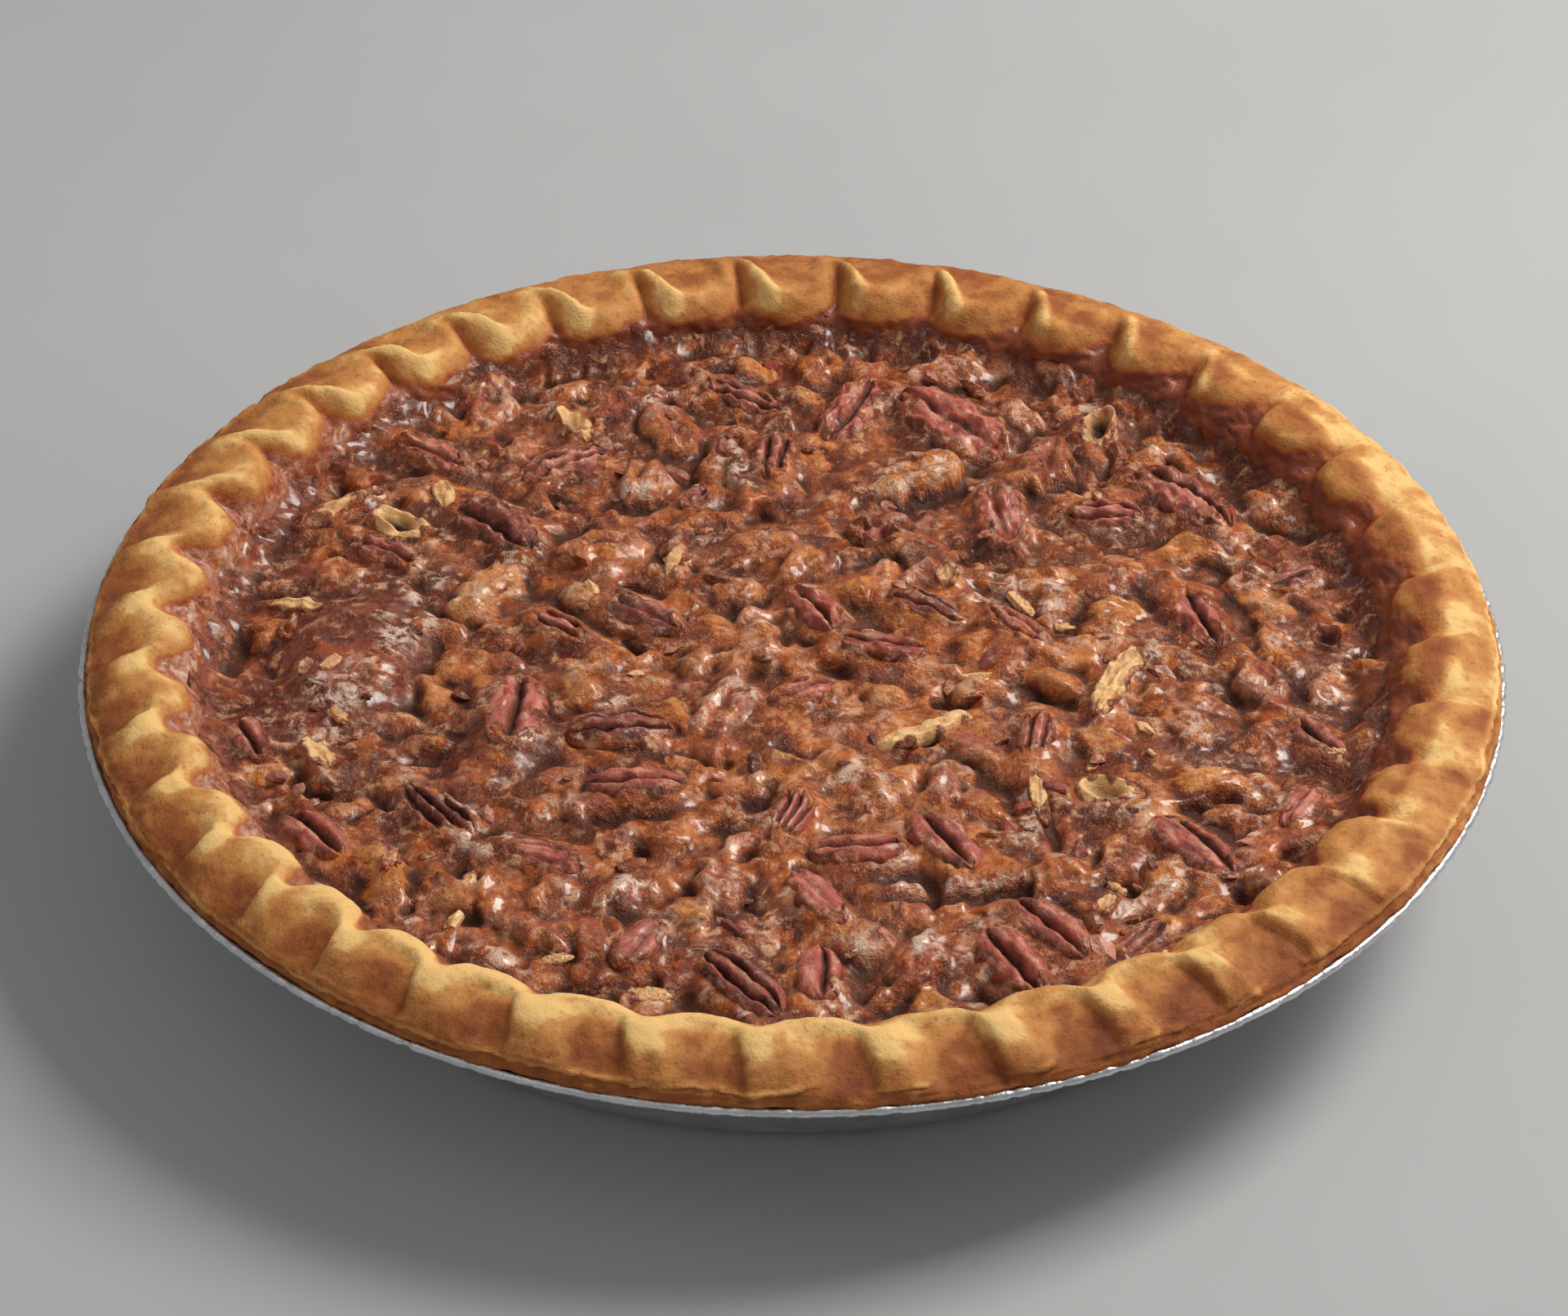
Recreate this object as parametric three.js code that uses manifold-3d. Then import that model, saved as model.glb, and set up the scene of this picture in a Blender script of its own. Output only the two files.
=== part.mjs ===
// Pecan pie in its own foil tin.
// Millimetres, +Z up. The origin is on the tin's underside, at the middle of its flat base.
// Angles run anticlockwise from +X, seen from above.

import * as THREE from "three";
import { ConvexGeometry } from "three/addons/geometries/ConvexGeometry.js";
import { mergeVertices } from "three/addons/utils/BufferGeometryUtils.js";
import Module from "manifold-3d";

// ---------------------------------------------------------------- driving dimensions

const SIDES = 72; // facets round every smooth ring
const GAP = 0.35; // clearance between touching pieces

const TIN = {
  baseRadius: 99,
  wallTopRadius: 121.6,
  flangeHeight: 30,
  sheet: 0.6, // stands for the thin foil
  heel: [1.6, 1], // the wall's line starts this far outside the base, and this high
  heelTop: 1.4, // where the bend at the base ends
  shoulderDrop: 0.6, // the bend into the flange starts this far below it
  shoulderWidth: 1.3,
  hemRadius: 0.95, // the rolled edge
  hemCentre: 129.8,
  hemCorners: 6,
  hemTurn: [-100, 150], // where the roll starts and ends, in degrees
};

const CRUST = {
  base: 4.4, // pastry thickness under the filling
  insideBottomRadius: 95.5, // inner wall at the bottom
  fillRadius: 107.6, // inner wall where the filling's skin meets it
  outerRadius: 129.8,
  crestRadius: 118.5,
  crestHeight: 38.2,
  pillows: 39, // crimped pillows round the rim
  pillowSteps: [0, 0.2, 0.5, 0.8], // where each pillow has its points, from crease to crease
  pillowSize: [0.78, 1.15], // smallest and largest, as a share
  wander: 0.5, // slow rise and fall of the crest
  ragged: 0.9, // how far the lower edge is broken back
  heelHeight: 2.3, // where the bend at the bottom ends
};

// The crimped rings of the rim, measured from the crest. inward and up say how far the pillows
// swell there. lean is 1 at the rim's inner edge and 0 at its outer edge.
const CRIMPED = {
  innerWall: { out: -8.7, above: -5.8, inward: 1.6, up: 0, lean: 1 },
  innerEdge: { out: -4.2, above: -1.3, inward: 3.8, up: 1.4, lean: 1 },
  crest: { out: 0, above: 0, inward: 1.8, up: 2, lean: 0.8 },
  slope: { out: 6, above: -1.6, inward: -0.6, up: 1.5, lean: 0.3 },
};

// The plain rings below them, measured from the outer edge and from the crest's height.
const BROW = { inside: 1.1, below: 3.9 };
const EDGE = { inside: 0, below: 5.8 };
const LIP = { inside: 1.3, below: 6.2 };

// The crimps drift a little ahead of and behind an even spacing: [waves round the rim, degrees, phase].
const CRIMP_START = 2.3;
const CRIMP_DRIFT = [
  [1, 2.2, -30],
  [2, 0.5, -166],
  [3, 0.4, -68],
  [4, 0.5, -23],
];
const CRIMP_LEAN = 1.5; // degrees that a crease turns on its way over the rim

const FILLING = {
  edgeHeight: 27,
  dome: 2.6, // rise from the edge to the middle
  ringStep: 8.8, // spacing of the surface's rings and of the points on them
  coveredRise: 3, // how far a nut under the skin lifts it
  coveredWidth: 0.6, // its width as a share of its length
  ripple: 0.45,
};

// ---------------------------------------------------------------- where the nuts lie

const NUT_REACH = 104.8; // how far from the middle a nut may lie
const NUT_TOP = 3.3; // how far a nut stands out of the filling at most
const NUT_ROLL = 12; // degrees
const NUT_PITCH = 5;
const NUT_LIFT = [-0.4, 0.3];

// Nuts that show, as [kind, x, y, heading in degrees, length]. See NUT_KINDS for the kinds.
const NUTS = [
  // far left quarter
  ["half", -71, 66, -39, 19],
  ["half", -44, 61, 31, 20],
  ["cup", -43, 77, -62, 15],
  ["half", -56, 40, -52, 22],
  ["chip", -67, 51, 100, 7],
  ["cup", -75, 42, -24, 16],
  ["half", -76, 32, -30, 15],
  ["sliver", -91, 50, 36, 21],
  ["sliver", -92, 16, -8, 14],
  ["half", -44, 7, -41, 15],
  ["half", -28, 12, -38, 18],
  ["chip", -19, 49, 60, 8],
  ["half", -10, 85, -33, 19],
  ["half", -4, 64, 86, 18],
  // far right quarter
  ["half", 11, 81, 67, 21],
  ["half", 31, 76, -46, 28],
  ["cup", 61, 79, 78, 15],
  ["half", 75, 52, -52, 26],
  ["half", 59, 46, -6, 16],
  ["half", 40, 43, 99, 22],
  ["chip", 15, 38, -20, 11],
  ["chip", 29, 24, 90, 8],
  ["half", 75, 13, -70, 19],
  ["half", 95, 28, 30, 13],
  ["cup", 99, 9, -60, 11],
  ["half", 4, 13, -64, 16],
  ["half", 17, 1, -18, 17],
  ["half", 25, 14, -28, 16],
  ["half", 41, 9, -52, 17],
  ["sliver", 59, -8, 68, 25],
  // near right quarter
  ["sliver", 24, -23, 30, 20],
  ["half", 3, -13, 18, 15],
  ["half", 44, -25, 78, 15],
  ["cup", 56, -40, -2, 14],
  ["sliver", 44, -42, 96, 14],
  ["half", 95, -23, -60, 15],
  ["half", 95, -45, 62, 15],
  ["half", 71, -55, -50, 21],
  ["half", 27, -55, -59, 19],
  ["half", 12, -58, 8, 18],
  ["half", 0, -49, 72, 15],
  ["half", 5, -71, -62, 18],
  ["half", 45, -78, -50, 19],
  ["half", 40, -91, -60, 19],
  ["half", 5, -90, 92, 16],
  ["chip", 55, -71, 70, 8],
  ["half", 62, -81, 52, 13],
  // near left quarter
  ["half", -50, -19, 88, 24],
  ["half", -31, -24, 6, 20],
  ["half", -28, -40, -4, 19],
  ["half", -63, -47, -48, 20],
  ["half", -43, -60, -12, 17],
  ["half", -100, -26, -70, 14],
  ["half", -84, -53, -50, 17],
  ["chip", -85, -30, -60, 10],
  ["half", -26, -83, 62, 16],
  ["half", -8, -93, -50, 20],
];

// Nuts hidden under the skin of the filling, as [x, y, heading in degrees, length].
const COVERED_NUTS = [
  [-57, 19, 60, 22],
  [-33, 84, 15, 19],
  [-24, 75, -72, 20],
  [-86, -2, 78, 27],
  [-92, 64, 50, 18],
  [-60, 84, 78, 20],
  [-29, 57, 85, 18],
  [-14, 60, 86, 21],
  [-36, 33, 25, 20],
  [-70, -10, -64, 22],
  [22, 59, 28, 26],
  [48, 64, 78, 22],
  [60, 27, 40, 18],
  [75, 35, 4, 15],
  [92, 50, -60, 19],
  [44, 25, 12, 17],
  [54, 94, -35, 16],
  [30, 96, 20, 18],
  [-6, 33, 10, 18],
  [72, -19, -60, 17],
  [75, -36, 6, 15],
  [86, -7, -75, 17],
  [-12, -17, 58, 20],
  [12, -37, -40, 22],
  [28, -38, 76, 15],
  [-12, -67, 80, 17],
  [-24, -53, -8, 16],
  [-72, -64, -70, 16],
  [-44, -78, -20, 16],
  [22, -86, 75, 20],
  [-60, -68, -48, 15],
  [83, -62, 50, 13],
  [-78, 82, 35, 14],
  [86, 74, -50, 16],
  [-8, -2, 30, 16],
];

// width and height are shares of the length, groove is the share of the height that the seam
// cuts away, seam is how far off the middle it runs, and deep is how far the nut goes down.
const NUT_KINDS = {
  half: { width: 0.52, height: 0.165, groove: 0.42, seam: 0.08, deep: 2.6, stations: 5, uneven: 0.05 },
  cup: { width: 0.58, height: 0.18, groove: 0.75, seam: 0, deep: 2.4, stations: 5, uneven: 0.08 },
  sliver: { width: 0.26, height: 0.12, groove: 0.25, seam: -0.2, deep: 2.2, stations: 4, uneven: 0.1 },
  chip: { width: 0.72, height: 0.28, groove: 0.1, seam: 0.3, deep: 2.2, stations: 3, uneven: 0.22 },
};

// ---------------------------------------------------------------- helpers

const radians = THREE.MathUtils.degToRad;

// A repeatable number from 0 to 1 for each whole-number seed.
function chance(seed) {
  const wave = Math.sin(seed * 12.9898 + 4.1) * 43758.5453;
  return wave - Math.floor(wave);
}

function mix(a, b, t) {
  return a + (b - a) * t;
}

// A closed surface made of rings of points, each ring joined to the next one.
class RingShell {
  constructor() {
    this.points = [];
    this.faces = [];
  }

  // polar is a list of [angle, radius, height], anticlockwise from about angle 0.
  ring(polar) {
    const first = this.points.length;
    for (const [angle, radius, height] of polar) {
      this.points.push([radius * Math.cos(angle), radius * Math.sin(angle), height]);
    }
    return polar.map(([angle], i) => ({ angle, index: first + i }));
  }

  // Rings may hold different numbers of points: the one that lags in angle takes the next step.
  join(lower, upper) {
    let i = 0;
    let j = 0;
    const angleAt = (ring, n) => ring[n % ring.length].angle + 2 * Math.PI * Math.floor(n / ring.length);
    const indexAt = (ring, n) => ring[n % ring.length].index;
    while (i < lower.length || j < upper.length) {
      const stepLower = j >= upper.length
        || (i < lower.length && angleAt(lower, i + 1) <= angleAt(upper, j + 1));
      if (stepLower) {
        this.faces.push([indexAt(lower, i), indexAt(lower, i + 1), indexAt(upper, j)]);
        i += 1;
      } else {
        this.faces.push([indexAt(lower, i), indexAt(upper, j + 1), indexAt(upper, j)]);
        j += 1;
      }
    }
  }

  // Closes a ring with a fan to one point on the axis.
  close(ring, height, facesUp) {
    const middle = this.points.length;
    this.points.push([0, 0, height]);
    ring.forEach((at, n) => {
      const next = ring[(n + 1) % ring.length];
      this.faces.push(facesUp ? [at.index, next.index, middle] : [next.index, at.index, middle]);
    });
  }

  geometry() {
    const geometry = new THREE.BufferGeometry();
    geometry.setAttribute("position", new THREE.Float32BufferAttribute(this.points.flat(), 3));
    geometry.setIndex(this.faces.flat());
    geometry.computeVertexNormals();
    return geometry;
  }
}

function evenAngles(count) {
  return Array.from({ length: count }, (_, n) => (2 * Math.PI * n) / count);
}

// ---------------------------------------------------------------- tin

const wallSlope = Math.atan2(TIN.flangeHeight - TIN.sheet, TIN.wallTopRadius - TIN.baseRadius);

// Radius of the tin's inner wall at a height.
function tinInside(height) {
  const outside = TIN.baseRadius + TIN.heel[0] + (height - TIN.heel[1]) / Math.tan(wallSlope);
  return outside - TIN.sheet / Math.sin(wallSlope);
}

function makeTin() {
  const { sheet, heelTop, hemRadius, hemCentre, hemCorners, flangeHeight, baseRadius } = TIN;
  const outsideFrom = (height) => tinInside(height) + sheet / Math.sin(wallSlope);
  const shoulder = flangeHeight - TIN.shoulderDrop;
  const hem = [];
  for (let n = 0; n < hemCorners; n += 1) {
    const turn = radians(mix(...TIN.hemTurn, n / (hemCorners - 1)));
    hem.push([
      hemCentre + hemRadius * Math.cos(turn),
      flangeHeight + hemRadius * (1 + Math.sin(turn)),
    ]);
  }
  const outline = [
    [0, 0],
    [baseRadius, 0],
    [outsideFrom(heelTop), heelTop],
    [outsideFrom(shoulder), shoulder],
    ...hem,
    [tinInside(shoulder) + TIN.shoulderWidth, shoulder + sheet],
    [tinInside(heelTop + sheet), heelTop + sheet],
    [baseRadius - sheet, sheet],
    [0, sheet],
  ];
  const profile = outline.map(([r, z]) => new THREE.Vector2(r, z));
  const geometry = new THREE.LatheGeometry(profile, SIDES);
  geometry.rotateX(Math.PI / 2);
  return geometry;
}

// ---------------------------------------------------------------- crust

// Angle of the nth crease between two pillows, in radians. lean is 0 at the outer edge of the
// rim and 1 at the inner edge.
function creaseAngle(n, lean) {
  const even = (360 * n) / CRUST.pillows;
  const drift = CRIMP_DRIFT.reduce(
    (sum, [waves, size, phase]) => sum + size * Math.sin(radians(waves * even + phase)),
    CRIMP_START,
  );
  return radians(even + drift - CRIMP_LEAN * (lean - 0.5));
}

// One crimped ring of the rim, from its row in CRIMPED.
function crimpedRing({ out, above, inward, up, lean }) {
  const ring = [];
  const radius = CRUST.crestRadius + out;
  const height = CRUST.crestHeight + above;
  for (let n = 0; n < CRUST.pillows; n += 1) {
    const from = creaseAngle(n, lean);
    const to = creaseAngle(n + 1, lean);
    const size = mix(...CRUST.pillowSize, chance(n + 11));
    for (const share of CRUST.pillowSteps) {
      const swell = size * Math.pow(Math.sin(Math.PI * share), 0.6) - 0.6;
      const angle = mix(from, to, share);
      const rise = CRUST.wander * Math.sin(3 * angle + 1) * Math.sin(2 * angle);
      ring.push([angle, radius - inward * swell, height + up * swell + (up > 0 ? rise : 0)]);
    }
  }
  return ring;
}

function makeCrust() {
  const shell = new RingShell();
  const { outerRadius, crestHeight } = CRUST;
  const plain = (radius, height, ragged = 0) => shell.ring(
    evenAngles(SIDES).map((a, n) => [a, radius - ragged * chance(n + 41), height]),
  );
  const floor = TIN.sheet + GAP;
  const shoulder = TIN.flangeHeight - TIN.shoulderDrop;

  const insideBottom = plain(CRUST.insideBottomRadius, floor + CRUST.base);
  const fillLine = plain(CRUST.fillRadius, FILLING.edgeHeight);
  const innerWall = shell.ring(crimpedRing(CRIMPED.innerWall));
  const innerEdge = shell.ring(crimpedRing(CRIMPED.innerEdge));
  const crest = shell.ring(crimpedRing(CRIMPED.crest));
  const slope = shell.ring(crimpedRing(CRIMPED.slope));
  const brow = plain(outerRadius - BROW.inside, crestHeight - BROW.below);
  const edge = plain(outerRadius - EDGE.inside, crestHeight - EDGE.below, CRUST.ragged);
  const lip = plain(outerRadius - LIP.inside, crestHeight - LIP.below, CRUST.ragged);
  const under = plain(tinInside(shoulder) + TIN.shoulderWidth, shoulder + TIN.sheet + GAP);
  const outsideBottom = plain(tinInside(CRUST.heelHeight) - GAP / Math.sin(wallSlope), CRUST.heelHeight);
  const heel = plain(TIN.baseRadius - TIN.sheet - GAP, floor);

  const rings = [
    insideBottom, fillLine, innerWall, innerEdge, crest, slope, brow, edge, lip, under, outsideBottom, heel,
  ];
  shell.close(insideBottom, floor + CRUST.base, true);
  for (let n = 0; n + 1 < rings.length; n += 1) {
    shell.join(rings[n + 1], rings[n]);
  }
  shell.close(heel, floor, false);
  return shell.geometry();
}

// Radius of the pastry's inner wall at a height below the rim.
function crustInside(height) {
  const bottom = TIN.sheet + GAP + CRUST.base;
  const share = (height - bottom) / (FILLING.edgeHeight - bottom);
  return mix(CRUST.insideBottomRadius, CRUST.fillRadius, share);
}

// ---------------------------------------------------------------- filling

// Height of the filling's skin at a point: a low dome, nuts that lift it, and ripples.
function skinHeight(x, y) {
  const edge = CRUST.fillRadius - GAP;
  const share = Math.min(1, Math.hypot(x, y) / edge);
  const dome = FILLING.dome * (1 - share * share);
  const ripple = FILLING.ripple * Math.sin(x / 7.3 + Math.sin(y / 11)) * Math.sin(y / 8.1 + 1);
  let lift = 0;
  for (const [nutX, nutY, heading, length] of COVERED_NUTS) {
    const turn = radians(heading);
    const along = (x - nutX) * Math.cos(turn) + (y - nutY) * Math.sin(turn);
    const across = (y - nutY) * Math.cos(turn) - (x - nutX) * Math.sin(turn);
    const far = (2 * along / length) ** 2 + (2 * across / (FILLING.coveredWidth * length)) ** 2;
    lift = Math.max(lift, FILLING.coveredRise * Math.exp(-far * far * 0.45));
  }
  const calm = Math.min(1, (1 - share) * 8);
  return FILLING.edgeHeight + dome + (lift + ripple) * calm;
}

function makeFillingBlank() {
  const shell = new RingShell();
  const floor = TIN.sheet + GAP + CRUST.base + GAP;
  const edge = CRUST.fillRadius - 1.2 * GAP;
  const bottomRadius = crustInside(floor) - 1.2 * GAP;
  const bottom = shell.ring(evenAngles(SIDES).map((a) => [a, bottomRadius, floor]));
  let outer = shell.ring(evenAngles(SIDES).map((a) => [a, edge, FILLING.edgeHeight]));
  shell.close(bottom, floor, false);
  shell.join(bottom, outer);
  const rings = Math.round(edge / FILLING.ringStep);
  for (let n = rings - 1; n > 0; n -= 1) {
    const radius = (edge * n) / rings;
    const count = Math.max(6, Math.round((2 * Math.PI * radius) / FILLING.ringStep));
    const inner = shell.ring(
      evenAngles(count).map((a) => [a, radius, skinHeight(radius * Math.cos(a), radius * Math.sin(a))]),
    );
    shell.join(outer, inner);
    outer = inner;
  }
  shell.close(outer, skinHeight(0, 0), true);
  return shell.geometry();
}

// ---------------------------------------------------------------- nuts

// Points of a nut, lying along X with the skin of the filling at height 0: two tips and
// sections of eight points, from the left edge over the two lobes to the right edge and back
// underneath.
function nutSections(kind, length, seed) {
  const shape = NUT_KINDS[kind];
  const sections = [];
  for (let n = 0; n < shape.stations; n += 1) {
    const along = -1 + (2 * (n + 0.5)) / shape.stations;
    const fullness = Math.pow(1 - along * along, 0.42);
    const knock = 1 - shape.uneven * chance(seed * 7 + n);
    const half = 0.5 * shape.width * length * fullness * knock;
    const tall = Math.min(shape.height * length, NUT_TOP);
    const top = tall * Math.pow(1 - along * along, 0.35) * knock;
    const x = 0.5 * along * length;
    sections.push([
      [x, -half, 0],
      [x, -0.58 * half, top],
      [x, shape.seam * half, top * (1 - shape.groove)],
      [x, 0.58 * half, top * 0.94],
      [x, half, 0],
      [x, 0.7 * half, -shape.deep],
      [x, 0, -shape.deep],
      [x, -0.7 * half, -shape.deep],
    ]);
  }
  return { tips: [[-0.5 * length, 0, 0], [0.5 * length, 0, 0]], sections };
}

function nutGeometry(kind, length, seed) {
  const { tips, sections } = nutSections(kind, length, seed);
  const points = [tips[0], ...sections.flat(), tips[1]];
  const last = points.length - 1;
  const at = (section, n) => 1 + section * 8 + (n % 8);
  const faces = [];
  for (let n = 0; n < 8; n += 1) {
    faces.push([0, at(0, n), at(0, n + 1)]);
    for (let s = 0; s + 1 < sections.length; s += 1) {
      faces.push([at(s, n), at(s + 1, n), at(s + 1, n + 1)]);
      faces.push([at(s, n), at(s + 1, n + 1), at(s, n + 1)]);
    }
    faces.push([last, at(sections.length - 1, n + 1), at(sections.length - 1, n)]);
  }
  const geometry = new THREE.BufferGeometry();
  geometry.setAttribute("position", new THREE.Float32BufferAttribute(points.flat(), 3));
  geometry.setIndex(faces.flat());
  geometry.computeVertexNormals();
  return geometry;
}

// Corners of an eight-sided outline round a nut, as shares of its half length and half width.
const OUTLINE = [
  [1, 0.45],
  [0.5, 1],
  [-0.5, 1],
  [-1, 0.45],
  [-1, -0.45],
  [-0.5, -1],
  [0.5, -1],
  [1, -0.45],
];
const POCKET_TAPER = 0.2; // how far the pocket narrows to its bottom, as a share
const CUT_ABOVE = 8; // the cutter stands this far out of the filling

// The pocket's cutter: a tapered eight-sided plug that clears the nut all round by the gap.
function pocketGeometry(kind, length) {
  const shape = NUT_KINDS[kind];
  const reach = 0.5 * length + GAP;
  const half = 0.5 * shape.width * length + GAP;
  const level = (z, taper) => OUTLINE.map(
    ([x, y]) => new THREE.Vector3(x * (reach + taper), y * (half + taper), z),
  );
  const bottom = -shape.deep - GAP;
  const points = [...level(bottom, -POCKET_TAPER * half), ...level(0, 0), ...level(CUT_ABOVE, 0)];
  return new ConvexGeometry(points);
}

// A nut that would touch the pastry lies a little nearer the middle.
function settled([kind, x, y, heading, length]) {
  const turn = radians(heading);
  const half = 0.5 * NUT_KINDS[kind].width * length;
  const reaches = OUTLINE.map(
    ([u, v]) => Math.hypot(
      x + 0.5 * u * length * Math.cos(turn) - v * half * Math.sin(turn),
      y + 0.5 * u * length * Math.sin(turn) + v * half * Math.cos(turn),
    ),
  );
  const excess = Math.max(0, Math.max(...reaches) - NUT_REACH);
  const from = Math.hypot(x, y);
  return [kind, x * (1 - excess / from), y * (1 - excess / from), heading, length];
}

// Where a nut lies: on the skin, turned to its heading, rolled and pitched a little.
function nutMatrix([, x, y, heading], seed) {
  const roll = radians(mix(-NUT_ROLL, NUT_ROLL, chance(seed + 101)));
  const pitch = radians(mix(-NUT_PITCH, NUT_PITCH, chance(seed + 202)));
  const lift = mix(...NUT_LIFT, chance(seed + 303));
  const turn = new THREE.Euler(roll, pitch, radians(heading), "ZYX");
  return new THREE.Matrix4()
    .makeRotationFromEuler(turn)
    .setPosition(x, y, skinHeight(x, y) + lift);
}

// ---------------------------------------------------------------- cutting the pockets

const wasm = await Module();
wasm.setup();

function toSolid(geometry) {
  const bare = geometry.clone();
  bare.deleteAttribute("normal");
  bare.deleteAttribute("uv");
  const merged = mergeVertices(bare, 1e-4);
  return new wasm.Manifold(new wasm.Mesh({
    numProp: 3,
    vertProperties: new Float32Array(merged.attributes.position.array),
    triVerts: new Uint32Array(merged.index.array),
  }));
}

function fromSolid(solid) {
  const mesh = solid.getMesh();
  const geometry = new THREE.BufferGeometry();
  geometry.setAttribute("position", new THREE.BufferAttribute(new Float32Array(mesh.vertProperties), 3));
  geometry.setIndex(new THREE.BufferAttribute(new Uint32Array(mesh.triVerts), 1));
  geometry.computeVertexNormals();
  return geometry;
}

function makeFilling(nutRows) {
  let solid = toSolid(makeFillingBlank());
  nutRows.forEach((row, n) => {
    const cutter = pocketGeometry(row[0], row[4]).applyMatrix4(nutMatrix(row, n));
    solid = solid.subtract(toSolid(cutter));
  });
  return fromSolid(solid);
}

// ---------------------------------------------------------------- the pie

const MATERIALS = {
  foil: { color: 0xc9cbcd, roughness: 0.32, metalness: 1 },
  crust: { color: 0xc98a42, roughness: 0.78, metalness: 0 },
  filling: { color: 0x8c4a22, roughness: 0.34, metalness: 0 },
  nutSkin: { color: 0x6b3430, roughness: 0.45, metalness: 0 },
  nutFlesh: { color: 0xc98f55, roughness: 0.55, metalness: 0 },
};

function named(name, geometry, look) {
  const mesh = new THREE.Mesh(geometry, new THREE.MeshStandardMaterial(MATERIALS[look]));
  mesh.name = name;
  return mesh;
}

const pie = new THREE.Group();
pie.add(named("tin", makeTin(), "foil"));
pie.add(named("crust", makeCrust(), "crust"));
const nutRows = NUTS.map(settled);
pie.add(named("filling", makeFilling(nutRows), "filling"));

const nuts = new THREE.Group();
nutRows.forEach((row, n) => {
  const [kind, , , , length] = row;
  const number = String(n + 1).padStart(2, "0");
  const look = kind === "half" ? "nutSkin" : "nutFlesh";
  const nut = named(`pecan_${kind}_${number}`, nutGeometry(kind, length, n), look);
  nut.applyMatrix4(nutMatrix(row, n));
  nuts.add(nut);
});
pie.add(nuts);

export default pie;
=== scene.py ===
"""A pecan pie in its foil tin: crimped crust, glossy filling, pecan halves and pieces."""

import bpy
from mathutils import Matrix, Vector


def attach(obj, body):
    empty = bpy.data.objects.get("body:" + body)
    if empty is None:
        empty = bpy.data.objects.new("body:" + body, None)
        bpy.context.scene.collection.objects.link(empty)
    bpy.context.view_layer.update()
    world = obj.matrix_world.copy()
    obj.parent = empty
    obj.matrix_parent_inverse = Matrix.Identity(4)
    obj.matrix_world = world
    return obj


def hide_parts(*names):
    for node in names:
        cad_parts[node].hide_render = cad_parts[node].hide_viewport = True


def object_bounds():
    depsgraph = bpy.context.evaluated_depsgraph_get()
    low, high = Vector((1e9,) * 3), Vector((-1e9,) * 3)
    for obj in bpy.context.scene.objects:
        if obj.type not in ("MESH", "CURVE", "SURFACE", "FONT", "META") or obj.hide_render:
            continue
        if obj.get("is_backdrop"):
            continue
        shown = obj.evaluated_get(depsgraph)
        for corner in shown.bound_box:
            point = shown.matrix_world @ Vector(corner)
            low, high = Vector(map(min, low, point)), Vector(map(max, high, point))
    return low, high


bl_info = {
    "name": "Pecan Pie",
    "version": (1, 0, 0),
    "blender": (4, 5, 0),
    "location": "View3D > Sidebar > Pecan Pie",
    "description": "Builds a pecan pie in its foil tin, with its crust, filling and nuts",
    "category": "Add Mesh",
}

from math import cos, pi, radians, sin

import bpy
import numpy as np
from bpy.props import FloatProperty, FloatVectorProperty, IntProperty, PointerProperty
from mathutils import Matrix, Vector

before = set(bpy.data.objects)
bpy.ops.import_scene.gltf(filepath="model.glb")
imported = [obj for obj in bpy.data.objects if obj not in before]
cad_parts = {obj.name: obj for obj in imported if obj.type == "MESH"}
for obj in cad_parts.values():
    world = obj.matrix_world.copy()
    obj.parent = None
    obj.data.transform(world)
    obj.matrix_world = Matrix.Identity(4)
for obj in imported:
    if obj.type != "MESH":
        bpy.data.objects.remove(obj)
CAD_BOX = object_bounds()

MM = 0.001


# ---------------------------------------------------------------- numbers of the pie, in mm

PILLOWS = 39
CRIMP_START = 2.3
CRIMP_DRIFT = ((1, 2.2, -30), (2, 0.5, -166), (3, 0.4, -68), (4, 0.5, -23))
CRIMP_LEAN = 1.5

# The crust's outline from the inside bottom over the rim to the tin: radius, height, how far
# the pillows swell inward and up, lean (1 inside, 0 outside), rows up to the next line.
CRUST_OUTLINE = (
    (95.5, 5.35, 0.0, 0.0, 1.0, 1),
    (103.8, 19.5, 0.0, 0.0, 1.0, 1),
    (107.0, 25.6, 0.0, 0.0, 1.0, 2),
    (107.7, 27.2, 0.3, 0.0, 1.0, 12),
    (109.8, 32.4, 1.6, 0.0, 1.0, 12),
    (113.6, 36.7, 3.6, 1.5, 1.0, 11),
    (118.3, 38.3, 2.4, 0.7, 0.8, 12),
    (124.3, 36.9, 0.4, 0.2, 0.3, 11),
    (128.3, 34.6, -0.2, 0.0, 0.1, 11),
    (129.7, 32.7, 0.0, 0.0, 0.0, 4),
    (129.5, 31.85, 0.0, 0.0, 0.0, 2),
    (128.7, 31.2, 0.0, 0.0, 0.0, 1),
    (123.0, 30.4, 0.0, 0.0, 0.0, 1),
    (120.1, 28.6, 0.0, 0.0, 0.0, 1),
    (99.8, 2.6, 0.0, 0.0, 0.0, 1),
    (98.0, 0.95, 0.0, 0.0, 0.0, 0),
)

CRUST_TOP = 39.4

# The sides of the crust that differ: the angle of each and how far round it reaches, in degrees.
CRUST_SIDES = {"front": (302, 78), "back": (98, 80), "left": (200, 75), "right": (12, 62)}
# The left of the pie, where the inner wall faces the light and its syrup film is painted lighter and
# rosier: its angle and reach in degrees.
LIT_SIDE = (184, 62)

TIN_BASE_RADIUS = 99.0
TIN_WALL_RADIUS = 121.6
TIN_FLANGE_HEIGHT = 30.0
TIN_SHEET = 0.6
HEM_RADIUS = 0.95
HEM_CENTRE = 129.8
TIN_COLUMNS = 1260

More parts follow.
